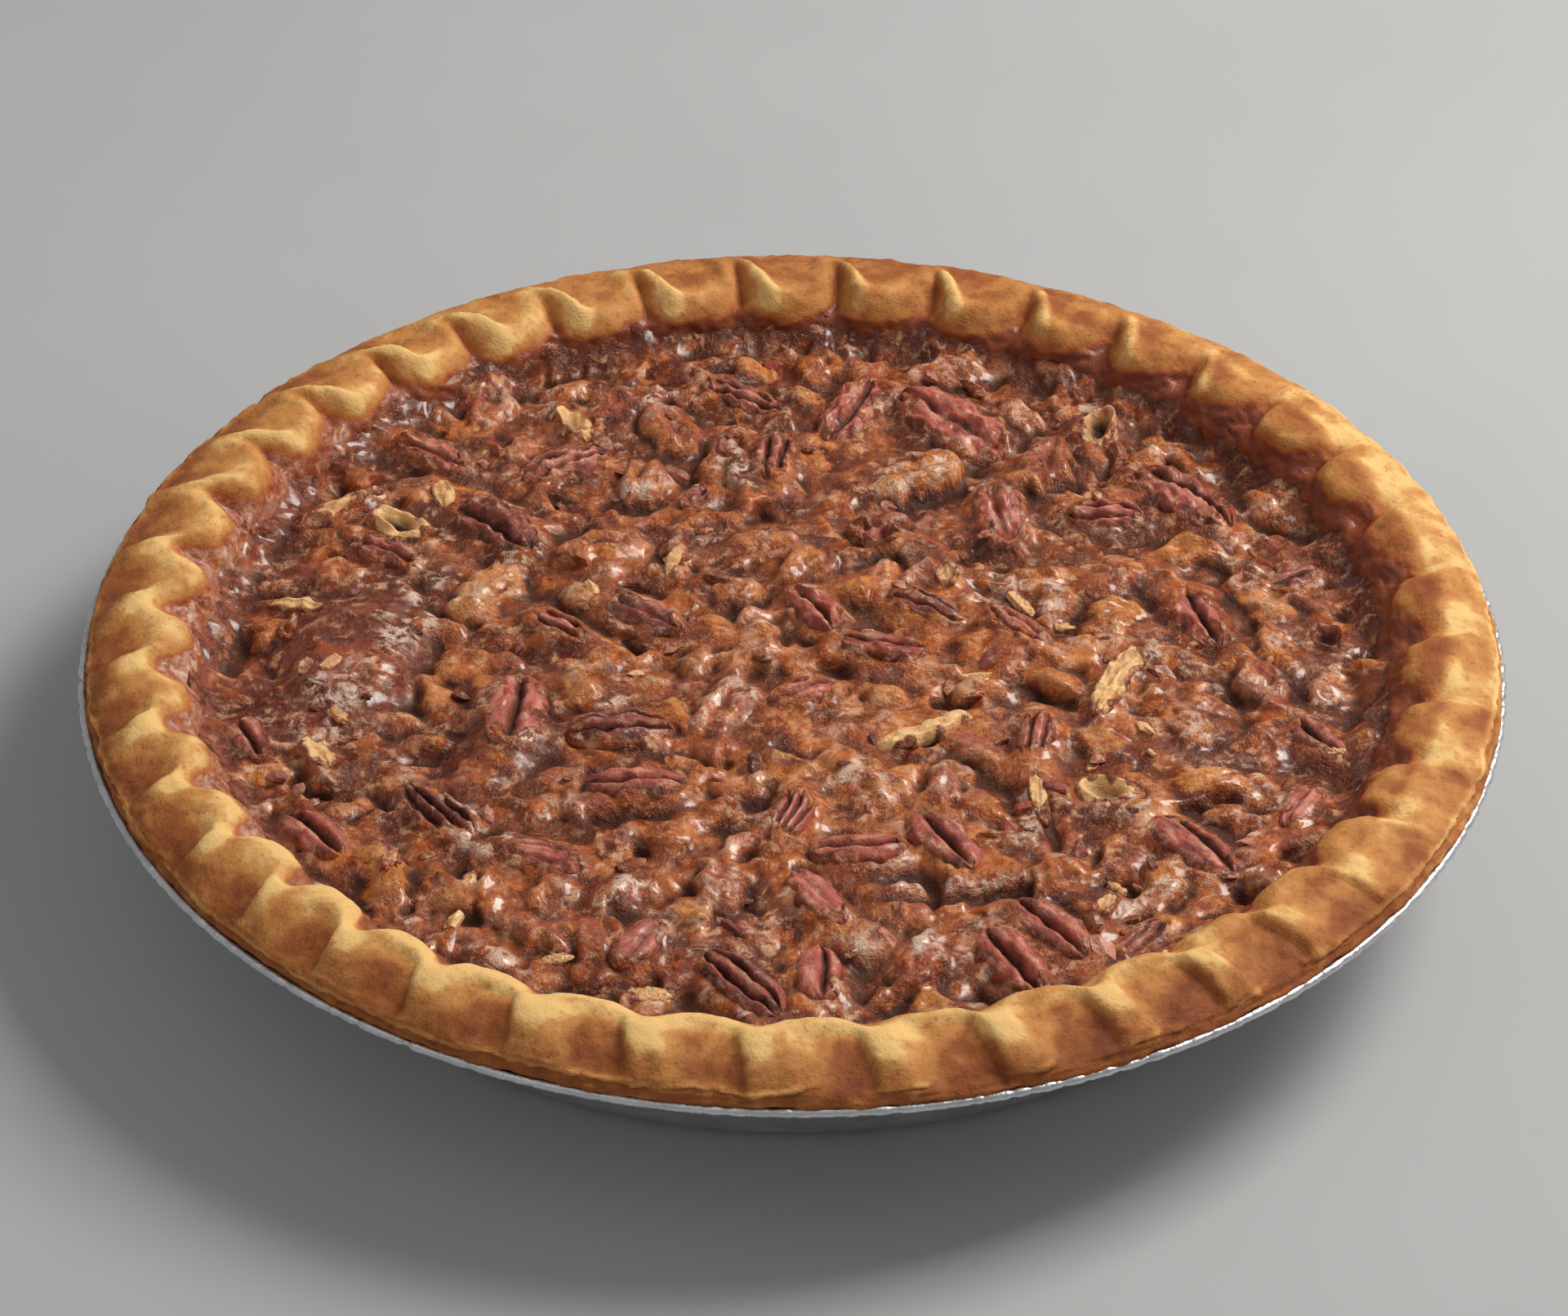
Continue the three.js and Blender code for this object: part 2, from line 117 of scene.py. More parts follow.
FILL_EDGE_RADIUS = 110.3
FILL_EDGE_HEIGHT = 32.4
FILL_CURL_RADIUS = 103.0
FILL_RADIUS = 107.2
FILL_HEIGHT = 27.0
FILL_DOME = 2.6
FILL_FLOOR = 5.75
FILL_SHADE_RADIUS = 108.0

# Radius and height of the filling's two rings under the skin.
FILL_WALL = ((FILL_RADIUS, 26.0), (95.2, FILL_FLOOR))

# How often the skin is smoothed, and how often the copy that it is held against to find hollows.
SKIN_PASSES = 2
HOLLOW_PASSES = 26

# The grid of small lumps: its steps along x and y, how far each lump is shaken off it and how
# far out the lumps lie. The broken bits are strewn over a square, and kept inside a circle.
FILLER_STEPS = (10.2, 8.9)
FILLER_SHAKE = 3
FILLER_REACH = 104
BITS_SQUARE = 102
BITS_REACH = 100

# Columns of points over a nut and, with the two at its sides again, under it.
NUT_TOP = 41
NUT_BASE = 12

# The one half with a piece broken off its side.
BROKEN_SIDE = 16

# Camera and lights: metres and degrees.
CAMERA_TARGET = (0.0, 0.0, 0.033)
CAMERA_DISTANCE = 1.04
CAMERA_RISE = 36.22
CAMERA_ROLL = 0.47
CAMERA_SHIFT = (-0.00568, -0.01198)
FLOOR_REACH = 4.0
ROOM_COLOUR = (1.0, 0.985, 0.96, 1.0)

# Each light's place, size and colour, and the place that both face.
KEY_LIGHT = ((0.64, 0.34, 0.84), 0.48, (1.0, 0.97, 0.93))
WEAK_LIGHT = ((-0.7, -0.4, 1.2), 1.2, (0.96, 0.98, 1.0))
LIGHT_TARGET = (0.0, 0.0, 0.02)

# Nuts under the skin: x, y, heading in degrees, length.
COVERED_NUTS = (
    (-57, 19, 60, 22), (-33, 84, 15, 19), (-24, 75, -72, 20),
    (-92, 64, 50, 18), (-60, 84, 78, 20), (-29, 57, 85, 18), (-14, 60, 86, 21),
    (-36, 33, 25, 20), (22, 59, 28, 26), (48, 64, 78, 22),
    (60, 27, 40, 18), (75, 35, 4, 15), (92, 50, -60, 19), (44, 25, 12, 17),
    (54, 94, -35, 16), (30, 96, 20, 18), (-6, 33, 10, 18), (72, -19, -60, 17),
    (75, -36, 6, 15), (86, -7, -75, 17), (-12, -17, 58, 20), (12, -37, -40, 22),
    (28, -38, 76, 15), (-12, -67, 80, 17), (-24, -53, -8, 16), (-72, -64, -70, 16),
    (-44, -78, -20, 16), (22, -86, 75, 20), (-60, -68, -48, 15), (83, -62, 50, 13),
    (-78, 82, 35, 14), (86, 74, -50, 16), (-8, -2, 30, 16),
)

# Large smooth swellings of the skin: x, y, heading, half length, half width, height, rosiness.
SWELLINGS = (
    (-82, -3, 80, 29, 17, 3.8, 0.5), (-53, -30, 60, 17, 10, 1.2, 0.2), (-38, 30, 40, 14, 9, 1.0, 0.0),
    (18, 60, 30, 20, 10, 1.4, 0.0), (8, -22, 10, 20, 9, 0.9, 0.0), (72, -28, 60, 15, 9, 0.9, 0.0),
    (-2, 36, 0, 22, 9, 0.8, 0.0), (55, 30, 80, 14, 9, 0.8, 0.0),
)

# Whitish places of painted highlight on the skin: x, y, heading, half length, half width.
SHEEN_PATCHES = (
    (-70, 14, 78, 22, 6), (-84, -18, 60, 15, 6), (-51, 28, 60, 9, 4), (-26, 83, 60, 9, 4),
    (-27, 53, 30, 9, 5), (-12, 66, 80, 9, 4), (-52, 85, 70, 8, 4), (32, 58, -30, 11, 6),
    (52, 91, -60, 8, 4), (24, 51, -20, 8, 4), (46, 20, -40, 10, 4), (62, -6, 75, 13, 4),
    (42, -46, 80, 10, 4), (-32, -16, 70, 8, 4), (11, -39, 20, 8, 5), (-57, -50, -30, 12, 6),
    (-8, -69, 80, 8, 3), (-14, -78, 30, 8, 4), (-33, -63, 80, 5, 3), (32, -68, 10, 9, 4),
    (26, -82, 60, 9, 5), (81, -47, 60, 8, 4), (61, -71, 50, 8, 4), (2, 18, 70, 6, 3),
)

# Cracks and gaps in the skin, darkened with painted shade: from x, y to x, y, depth, width.
CRACKS = (
    (17, -71, 41, -67, 2.4, 1.5),
    (-99, 22, -92, 21, 2.6, 1.6),
    (21, -27, 25, -25, 2.5, 1.3),
    (-39, -27, -33, -27, 2.4, 1.5),
    (45, -44, 47, -54, 2.0, 1.6),
    (-101, 8, -103, -4, 1.2, 1.8),
    (78, -8, 84, -12, 1.6, 1.6),
)

# Pale and orange crumbs that lie on the skin: x, y, length, heading, paleness from 0 to 1.
CRUMBS = (
    (-40, -86, 5.5, 20, 0.8), (-56, -66, 4.5, 80, 0.7), (-70, -63, 5.0, 70, 0.5),
    (-24, -94, 7.5, -10, 1.0), (-59, -77, 3.5, 50, 0.4), (33, -12, 4.0, 15, 0.6),
    (50, 10, 4.0, -5, 0.8), (36, 36, 3.2, 40, 0.5), (54, -31, 3.4, 60, 0.7),
    (57, -65, 4.0, -40, 0.7), (64, -90, 3.6, 70, 0.9), (-82, -21, 5.0, -50, 0.6),
    (14, 8, 3.0, 0, 0.5), (-17, 39, 3.0, 30, 0.4), (98, -28, 3.6, 10, 0.7),
    (88, 2, 3.0, 80, 0.4), (46, -100, 3.0, 0, 0.4), (-66, 60, 3.4, -20, 0.3),
)

# How each kernel looks, in the order of their numbers: how many grooves, and then in hundredths
# the seam's place, the grooves' depth, how dark, red and pale it is, and how far syrup covers it.
LOOKS = (
    (1, 20, 60, 40, 50, 0, 5), (2, 0, 75, 40, 15, 0, -15), (1, 0, 50, 10, 40, 80, 0),
    (1, 42, 85, 75, 50, 0, -20), (1, 0, 30, 0, 20, 100, -30), (1, 0, 90, 0, 35, 90, -20),
    (1, 10, 60, 60, 70, 0, 0), (1, 0, 30, 10, 30, 60, 10), (1, 0, 40, 20, 30, 70, 0),
    (2, 0, 80, 30, 60, 0, 15), (1, 10, 50, 85, 20, 0, -5), (1, 10, 40, 80, 20, 0, 0),
    (2, 5, 70, 50, 45, 0, 0), (2, 0, 70, 35, 35, 0, 5), (1, -10, 80, 35, 45, 0, -10),
    (1, 0, 60, 20, 75, 10, -15), (1, 0, 80, 50, 30, 50, 0), (1, -15, 75, 55, 60, 0, -15),
    (2, 10, 70, 45, 55, 0, -5), (1, 25, 50, 20, 30, 0, 5), (1, 10, 50, 60, 60, 0, 0),
    (1, 0, 60, 20, 50, 60, 0), (1, -10, 95, 35, 45, 0, -5), (1, 0, 70, 80, 30, 10, 0),
    (1, 0, 70, 40, 40, 30, 0), (1, 5, 90, 25, 55, 0, -20), (1, -10, 85, 50, 75, 0, -15),
    (2, 0, 60, 85, 10, 0, 5), (2, 10, 50, 15, 60, 0, 10), (1, 0, 40, 0, 20, 90, -10),
    (1, 0, 30, 0, 10, 100, -30), (1, 20, 50, 35, 70, 0, 5), (2, 0, 60, 40, 20, 10, 0),
    (1, 0, 60, 20, 40, 80, 0), (1, 0, 40, 30, 20, 90, 0), (1, 10, 80, 70, 40, 0, 0),
    (1, 30, 40, 20, 40, 0, 5), (1, -30, 75, 50, 70, 0, -15), (1, 0, 80, 35, 55, 0, -20),
    (1, 0, 95, 30, 50, 0, -20), (3, 0, 70, 25, 45, 0, -5), (1, 10, 30, 30, 40, 0, -10),
    (1, 10, 90, 40, 40, 0, -15), (1, 15, 95, 30, 55, 0, -20), (1, -20, 80, 25, 35, 0, -20),
    (1, 0, 40, 0, 50, 80, 0), (2, 0, 60, 75, 20, 0, 0), (1, 5, 90, 30, 45, 10, -10),
    (2, 10, 95, 80, 50, 0, -5), (1, 10, 95, 45, 20, 0, -20), (3, 0, 80, 100, 0, 0, 15),
    (2, 0, 40, 35, 45, 0, 0), (1, 20, 95, 50, 60, 25, -10), (1, 0, 85, 40, 35, 0, -10),
    (1, 0, 30, 0, 50, 90, 0), (1, -25, 50, 45, 10, 0, -10), (2, 5, 100, 75, 30, 0, -25),
)


def linear(red, green, blue):
    """A screen colour from 0 to 255 as a linear one: its share of 255 plus 0.055, divided by
    1.055, to the power 2.4, or for the darkest the share divided by 12.92."""
    values = np.array((red, green, blue)) / 255
    bent = np.where(values <= 0.04045, values / 12.92, ((values + 0.055) / 1.055) ** 2.4)
    return tuple(float(v) for v in bent)


# ---------------------------------------------------------------- settings

def tint(name, description, *colour):
    """A colour setting whose default is a screen colour."""
    return FloatVectorProperty(
        name=name, description=description, default=linear(*colour), size=3, subtype="COLOR")


def metres(name, description, default, highest):
    """A small height in metres."""
    return FloatProperty(name=name, description=description, default=default, min=0.0, max=highest,
                         unit="LENGTH", precision=5)


def whole(name, description, default, lowest, highest):
    """A whole number between two others."""
    return IntProperty(name=name, description=description, default=default, min=lowest, max=highest)


class CrustSettings(bpy.types.PropertyGroup):
    """Sizes and colours of the pastry."""
    relief: FloatProperty(
        name="Pillow relief", description="How far the pillows swell, as a share of the plain size",
        default=1.0, min=0.2, max=1.3, subtype="FACTOR")
    grain: metres("Grain", "Height of the fine grain of the baked surface", 0.00032, 0.001)
    steps: whole("Steps per pillow", "Columns of points on each pillow", 28, 8, 28)
    # The pale colour also paints the lit ridges, and the brown the shade in the dents.
    pale: tint("Pale crust", "Colour where the pastry is least baked", 248, 202, 128)
    golden: tint("Golden crust", "Colour of most of the rim", 207, 140, 74)
    brown: tint("Brown crust", "Colour in the dents and down the slope", 160, 89, 41)
    dark: tint("Dark crust", "Colour where it is baked most", 132, 67, 32)
    film: tint("Syrup film", "Colour of the syrup that has run up the inner wall", 128, 56, 31)


class FillingSettings(bpy.types.PropertyGroup):
    """Sizes and colours of the filling."""
    steps: whole("Steps", "Points along each side of the skin's grid", 296, 64, 300)
    lump_height: metres("Lump height", "How far a covered nut lifts the skin", 0.0034, 0.006)
    crinkle: metres("Crinkle", "Height of the skin's wrinkles", 0.00042, 0.002)
    bits: whole("Bits", "How many small broken bits of nut lie in the skin", 110, 1, 2000)
    caramel: tint("Caramel", "Colour of the skin on the lumps", 182, 88, 36)
    brown: tint("Brown", "Colour of most of the skin", 98, 38, 22)
    # The gaps' colour is painted shade.
    dark: tint("Gaps", "Colour deep between the nuts", 60, 27, 20)
    rosy: tint("Rosy skin", "Colour where a nut shows through", 168, 82, 62)


class KernelSettings(bpy.types.PropertyGroup):
    """Sizes and colours of the nuts."""
    rows: whole("Rows", "Rows of points along each nut", 64, 12, 72)
    skin: tint("Skin", "Colour of the nuts' brown skin", 196, 104, 88)
    red: tint("Red skin", "Colour of the redder nuts", 186, 82, 64)
    # The dark skin also paints the shade on one flank of each nut.
    dark: tint("Dark skin", "Colour of the darkest nuts", 90, 40, 36)
    flesh: tint("Flesh", "Colour of broken nuts inside", 255, 208, 146)


class TinSettings(bpy.types.PropertyGroup):
    """Sizes and colours of the foil tin."""
    pleats: whole("Pleats", "Pleats round the wall", 84, 24, 160)
    pleat_depth: metres("Pleat depth", "How deep the wall's pleats are", 0.0005, 0.001)
    foil: tint("Foil", "Colour of the bare foil", 226, 227, 229)


class StageSettings(bpy.types.PropertyGroup):
    """Floor, light and camera."""
    floor: tint("Floor", "Colour of the plain floor", 188, 189, 190)
    key_power: FloatProperty(
        name="Key light", description="Power of the large light behind the pie on the right",
        default=10.5, min=0.0, unit="POWER")
    fill_power: FloatProperty(
        name="Fill light", description="Power of the weak light over the pie",
        default=1.2, min=0.0, unit="POWER")
    room: FloatProperty(
        name="Room light", description="Strength of the light from all round", default=0.27, min=0.0)
    lens: FloatProperty(
        name="Lens", description="Focal length on a sensor 36 mm wide", default=130.1, min=20.0)


SETTINGS = {
    "pie_crust": CrustSettings,
    "pie_filling": FillingSettings,
    "pie_kernels": KernelSettings,
    "pie_tin": TinSettings,
    "pie_stage": StageSettings,
}


# ---------------------------------------------------------------- repeatable noise

LATTICE = np.random.default_rng(7).normal(size=(256, 3))
LATTICE /= np.linalg.norm(LATTICE, axis=1, keepdims=True)


def smooth(low, high, value):
    """Rises from 0 at low to 1 at high: three times the square of the share of the way, less
    twice its cube."""
    t = np.clip((value - low) / (high - low), 0.0, 1.0)
    return t * t * (3 - 2 * t)


def mix(a, b, share):
    """a where the share is 0, b where it is 1."""
    return a + (b - a) * share


def noise(x, y, z=0.0, size=1.0, seed=0):
    """Gradient noise from about -1 to 1: at each corner of the cell round a point a fixed
    direction, chosen by mixing the corner's whole numbers, times the way to the point. The eight
    results are blended by ten times the cube of the share of the way across the cell, less
    fifteen times its fourth power, plus six times its fifth."""
    place = np.stack(np.broadcast_arrays(x, y, z), -1).astype(float) / size
    cell = np.floor(place).astype(np.int64)
    rest = place - cell
    fade = rest ** 3 * (rest * (rest * 6 - 15) + 10)
    total = np.zeros(place.shape[:-1])
    for corner in range(8):
        step = np.array((corner & 1, corner >> 1 & 1, corner >> 2 & 1))
        at = cell + step
        mixed = at[..., 0] * 73856093 ^ at[..., 1] * 19349663 ^ at[..., 2] * 83492791
        mixed = (mixed ^ (seed + 1) * 97531) * 1274126177
        way = LATTICE[(mixed >> 17) & 255]
        weight = np.prod(np.where(step == 1, fade, 1 - fade), -1)
        total += weight * np.sum(way * (rest - step), -1)
    return total * 1.6


def rough(x, y, z=0.0, size=1.0, octaves=3, seed=0):
    """Sum of noises, each of half the size and half the height of the one before."""
    return sum(0.5 ** k * noise(x, y, z, size * 0.5 ** k, seed + k) for k in range(octaves))


def ridged(x, y, z=0.0, size=1.0, seed=0):
    """Thin ridges: one less 2.2 times the noise without its sign, and never below nought."""
    return 1 - np.clip(np.abs(noise(x, y, z, size, seed)) * 2.2, 0, 1)


def cells(x, y, size, seed):
    """Cells round the shaken points of a square grid: how far a point is from the border to the
    next cell, in the units of x and y, a number from 0 to 1 for its own cell, and the height of
    a plane through the cell's middle that slopes its own way."""
    chance = np.random.default_rng(seed).uniform(size=(64, 64, 5))
    cx, cy = np.floor(x / size).astype(int), np.floor(y / size).astype(int)
    first, second = np.full(np.shape(x), 9.0), np.full(np.shape(x), 9.0)
    own, slant = np.zeros(np.shape(x)), np.zeros(np.shape(x))
    for i in (-1, 0, 1):
        for j in (-1, 0, 1):
            pick = chance[(cx + i) & 63, (cy + j) & 63]
            dx, dy = cx + i + pick[..., 0] - x / size, cy + j + pick[..., 1] - y / size
            far = np.hypot(dx, dy)
            nearer = far < first
            second = np.where(nearer, first, np.minimum(second, far))
            own = np.where(nearer, pick[..., 2], own)
            slant = np.where(nearer, 2 * ((pick[..., 3] - 0.5) * dx + (pick[..., 4] - 0.5) * dy), slant)
            first = np.where(nearer, far, first)
    return (second - first) * size, own, slant * size


# ---------------------------------------------------------------- meshes

def make_piece(name, look, points, faces, values):
    """A mesh object from a material, points in mm, arrays of faces of three or four corners and
    one value per point for each named attribute. The faces are turned over if the closed
    surface's volume, the sum of the triple products of its triangles' corners, comes out below
    nought."""
    volume = 0.0
    for corners in faces:
        a, b, c = (points[corners[:, k]] for k in range(3))
        volume += np.sum(a * np.cross(b, c))
        if corners.shape[1] == 4:
            d = points[corners[:, 3]]
            volume += np.sum(a * np.cross(c, d))
    if volume < 0:
        faces = [corners[:, ::-1] for corners in faces]
    mesh = bpy.data.meshes.new(name)
    mesh.vertices.add(len(points))
    mesh.vertices.foreach_set("co", (points * MM).astype(np.float32).ravel())
    lengths = np.concatenate([np.full(len(f), f.shape[1]) for f in faces])
    corners = np.concatenate([f.ravel() for f in faces])
    mesh.loops.add(len(corners))
    mesh.loops.foreach_set("vertex_index", corners.astype(np.int32))
    mesh.polygons.add(len(lengths))
    mesh.polygons.foreach_set("loop_start", (np.cumsum(lengths) - lengths).astype(np.int32))
    mesh.update(calc_edges=True)
    mesh.validate()
    mesh.shade_smooth()
    for key, numbers in values.items():
        layer = mesh.attributes.new(key, "FLOAT", "POINT")
        layer.data.foreach_set("value", np.asarray(numbers, np.float32).ravel())
    piece = bpy.data.objects.new(name, mesh)
    bpy.context.scene.collection.objects.link(piece)
    mesh.materials.append(look)
    return piece


def ring_faces(rows, columns):
    """Faces of a closed tube: each point of a row is joined to the next one round and to the
    row above. The two ends are fans to one point each, which follow the rows."""
    index = np.arange(rows * columns).reshape(rows, columns)
    here, beside = index, np.roll(index, -1, axis=1)
    quads = np.stack((here[:-1], beside[:-1], beside[1:], here[1:]), -1).reshape(-1, 4)
    first = np.full(columns, rows * columns)
    start = np.stack((beside[0], here[0], first), -1)
    end = np.stack((here[-1], beside[-1], first + 1), -1)
    return [quads, np.concatenate((start, end))]


def through(lines):
    """Rows through the given lines: between two lines a Catmull-Rom curve, which leaves each
    line along the way from the one before it to the one after it, or a straight line where there
    are fewer than three rows. The last number of a line is how many rows there are up to the
    next one."""
    table = np.array(lines, float)
    knots, counts = table[:, :-1], table[:, -1].astype(int)
    padded = np.concatenate((knots[:1], knots, knots[-1:]))
    rows = []
    for n, count in enumerate(counts[:-1]):
        t = (np.arange(count) / count)[:, None]
        before, a, b, after = padded[n:n + 4]
        if count < 3:
            rows.append(a + (b - a) * t)
            continue
        rows.append(0.5 * (2 * a + (b - before) * t + (2 * before - 5 * a + 4 * b - after) * t ** 2
                           + (3 * a - before - 3 * b + after) * t ** 3))
    rows.append(knots[-1:])
    return np.concatenate(rows)


def closed(points, ends, values=None, fill=0.0):
    """A grid of rings with a point at either end: all points, the faces, and the values, which
    are the same at both ends."""
    flat = np.concatenate((points.reshape(-1, 3), ends))
    values = {key: np.append(grid.ravel(), (fill, fill)) for key, grid in (values or {}).items()}
    return flat, ring_faces(*points.shape[:2]), values


def repeated(faces, count, points):
    """The faces of many like parts one after another, each part with that number of points."""
    first = (np.arange(count) * points)[:, None, None]
    return [(part[None] + first).reshape(-1, part.shape[1]) for part in faces]


def outward(points):
    """Unit normals of a closed grid of rings: the cross product of the way along the row and the
    way up the rows."""
    along = np.roll(points, -1, axis=1) - np.roll(points, 1, axis=1)
    up = np.gradient(points, axis=0)
    normal = np.cross(along, up)
    return normal / np.maximum(np.linalg.norm(normal, axis=2, keepdims=True), 1e-9)


# ---------------------------------------------------------------- materials

class Nodes:
    """A short way to add nodes to a material or a group and to wire them up."""

    def __init__(self, tree):
        self.tree = tree

    def add(self, kind, inputs=None, **settings):
        """One node with its settings, and with its inputs set or linked."""
        node = self.tree.nodes.new(kind)
        for key, value in settings.items():
            setattr(node, key, value)
        self.fill(node.inputs, inputs or {})
        return node

    def fill(self, sockets, values):
        """Links or sets each of the given sockets."""
        for key, value in values.items():
            if isinstance(value, bpy.types.NodeSocket):
                self.tree.links.new(value, sockets[key])
            elif sockets[key].type == "RGBA":
                sockets[key].default_value = (*value, 1.0)
            else:
                sockets[key].default_value = value

    def sums(self, operation, a, b, clamp=False):
        """A Math node's result."""
        return self.add("ShaderNodeMath", {0: a, 1: b}, operation=operation, use_clamp=clamp).outputs[0]

    def times(self, a, b):
        """One value times another."""
        return self.sums("MULTIPLY", a, b)

    def plus(self, a, b, clamp=False):
        """One value plus another."""
        return self.sums("ADD", a, b, clamp)

    def nudge(self, value, other, middle, share, clamp=False):
        """A value plus a share of how far another is above its middle."""
        return self.plus(value, self.times(self.sums("SUBTRACT", other, middle), share), clamp)

    def vector(self, operation, a, b):
        """A Vector Math node's result."""
        return self.add("ShaderNodeVectorMath", {0: a, 1: b}, operation=operation).outputs[0]

    def range(self, value, low, high, to_low=0.0, to_high=1.0):
        """A smooth Map Range node's result."""
        inputs = {"Value": value, "From Min": low, "From Max": high, "To Min": to_low, "To Max": to_high}
        return self.add("ShaderNodeMapRange", inputs, interpolation_type="SMOOTHSTEP").outputs["Result"]

    def colours(self, share, a, b):
        """Two colours mixed by a share. The Mix node's colours are its inputs 6 and 7."""
        return self.add("ShaderNodeMix", {0: share, 6: a, 7: b}, data_type="RGBA").outputs[2]

    def value(self, name):
        """A named attribute of the mesh."""
        return self.add("ShaderNodeAttribute", attribute_name=name).outputs["Fac"]

    def scale(self, size):
        """A texture's scale for spots of a size in mm, which may be a socket."""
        if isinstance(size, bpy.types.NodeSocket):
            return self.sums("DIVIDE", 1000.0, size)
        return 1 / (size * MM)

    def cloud(self, place, size, detail=3.0, coarse=0.55, warp=0.0):
        """A noise whose spots are about the given size in mm."""
        return self.add("ShaderNodeTexNoise", {
            "Vector": place, "Scale": self.scale(size), "Detail": detail, "Roughness": coarse,
            "Distortion": warp}).outputs["Fac"]

    def grain(self, place, scale, detail, output="Fac"):
        """A plain noise of the given scale."""
        return self.add("ShaderNodeTexNoise", {
            "Vector": place, "Scale": scale, "Detail": detail}).outputs[output]

    def bent(self, place, scale, detail, reach):
        """A place pushed about by a noise, as far as the reach in metres says."""
        push = self.vector("SUBTRACT", self.grain(place, scale, detail, "Color"), (0.5, 0.5, 0.5))
        return self.vector("ADD", place, self.vector("MULTIPLY", push, (reach, reach, reach)))

    def bump(self, strength, distance, height):
        """A normal from a height."""
        return self.add("ShaderNodeBump", {
            "Strength": strength, "Distance": distance, "Height": height}).outputs[0]

    def group(self, name, **inputs):
        """The outputs of one of the node groups, which is made on first use."""
        tree = bpy.data.node_groups.get(name) or GROUPS[name](name)
        return self.add("ShaderNodeGroup", inputs, node_tree=tree).outputs

    def principled(self, **inputs):
        """A Principled shader, wired to the material's output. In the names of its inputs an
        underscore stands for a space."""
        named = {key.replace("_", " "): value for key, value in inputs.items()}
        shader = self.add("ShaderNodeBsdfPrincipled", named)
        self.add("ShaderNodeOutputMaterial", {"Surface": shader.outputs[0]})


def start_group(name, inputs, *outputs):
    """A new node group with inputs for the place, numbers or colours, and number outputs or one
    output that is called Colour."""
    tree = bpy.data.node_groups.new(name, "ShaderNodeTree")
    tree.interface.new_socket("Vector", in_out="INPUT", socket_type="NodeSocketVector")
    for key, default in inputs.items():
        colour = isinstance(default, tuple)
        kind = "NodeSocketColor" if colour else "NodeSocketFloat"
        socket = tree.interface.new_socket(key, in_out="INPUT", socket_type=kind)
        socket.default_value = (*default, 1.0) if colour else default
    for key in outputs:
        kind = "NodeSocketColor" if key == "Colour" else "NodeSocketFloat"
        tree.interface.new_socket(key, in_out="OUTPUT", socket_type=kind)
    nodes = Nodes(tree)
    return nodes, nodes.add("NodeGroupInput").outputs, nodes.add("NodeGroupOutput").inputs


def mottle_group(name):
    """Uneven browning: large blotches and fine specks of the given sizes in mm, each from 0
    to 1."""
    nodes, given, put = start_group(name, {"Blotch": 6.0, "Speck": 0.9}, "Blotches", "Specks")
    for size, output, low, high in (("Blotch", "Blotches", 0.36, 0.66), ("Speck", "Specks", 0.50, 0.72)):
        cloud = nodes.cloud(given["Vector"], given[size], 4.0, 0.6, 0.3)
        nodes.fill(put, {output: nodes.range(cloud, low, high)})
    return nodes.tree


def fleck_group(name):
    """Small chunks of uneven colour: two random numbers from 0 to 1, the same all over one
    chunk, whose borders are bent by a noise. The size is in mm."""
    nodes, given, put = start_group(name, {"Size": 2.7}, "Chunk", "Shade")
    where = nodes.bent(given["Vector"], 520.0, 3.0, 0.004)
    chunks = nodes.add("ShaderNodeTexVoronoi", {"Vector": where, "Scale": nodes.scale(given["Size"])})
    parts = nodes.add("ShaderNodeSeparateColor", {"Color": chunks.outputs["Color"]}).outputs
    nodes.fill(put, {"Chunk": parts[0], "Shade": parts[1]})
    return nodes.tree


def bubble_group(name):
    """The bubbled and creased skin of baked syrup: a height from 0 to 1 made of round cells,
    their creases and a fine grain, lower in calm patches. The sizes are in mm."""
    nodes, given, put = start_group(name, {"Cell": 1.6, "Grain": 0.5}, "Height")
    where = nodes.bent(given["Vector"], 450.0, 2.0, 0.0022)
    cell = nodes.add("ShaderNodeTexVoronoi", {
        "Vector": where, "Scale": nodes.scale(given["Cell"])}, feature="SMOOTH_F1").outputs["Distance"]
    grain = nodes.grain(where, nodes.scale(given["Grain"]), 3.0)
    calm = nodes.range(nodes.grain(given["Vector"], 110.0, 2.0), 0.5, 0.66)
    height = nodes.times(nodes.sums("SUBTRACT", 1.0, cell), 0.6)
    height = nodes.plus(height, nodes.times(grain, 0.55))
    height = nodes.times(height, nodes.sums("SUBTRACT", 1.0, nodes.times(calm, 0.8)))
    nodes.fill(put, {"Height": height})
    return nodes.tree


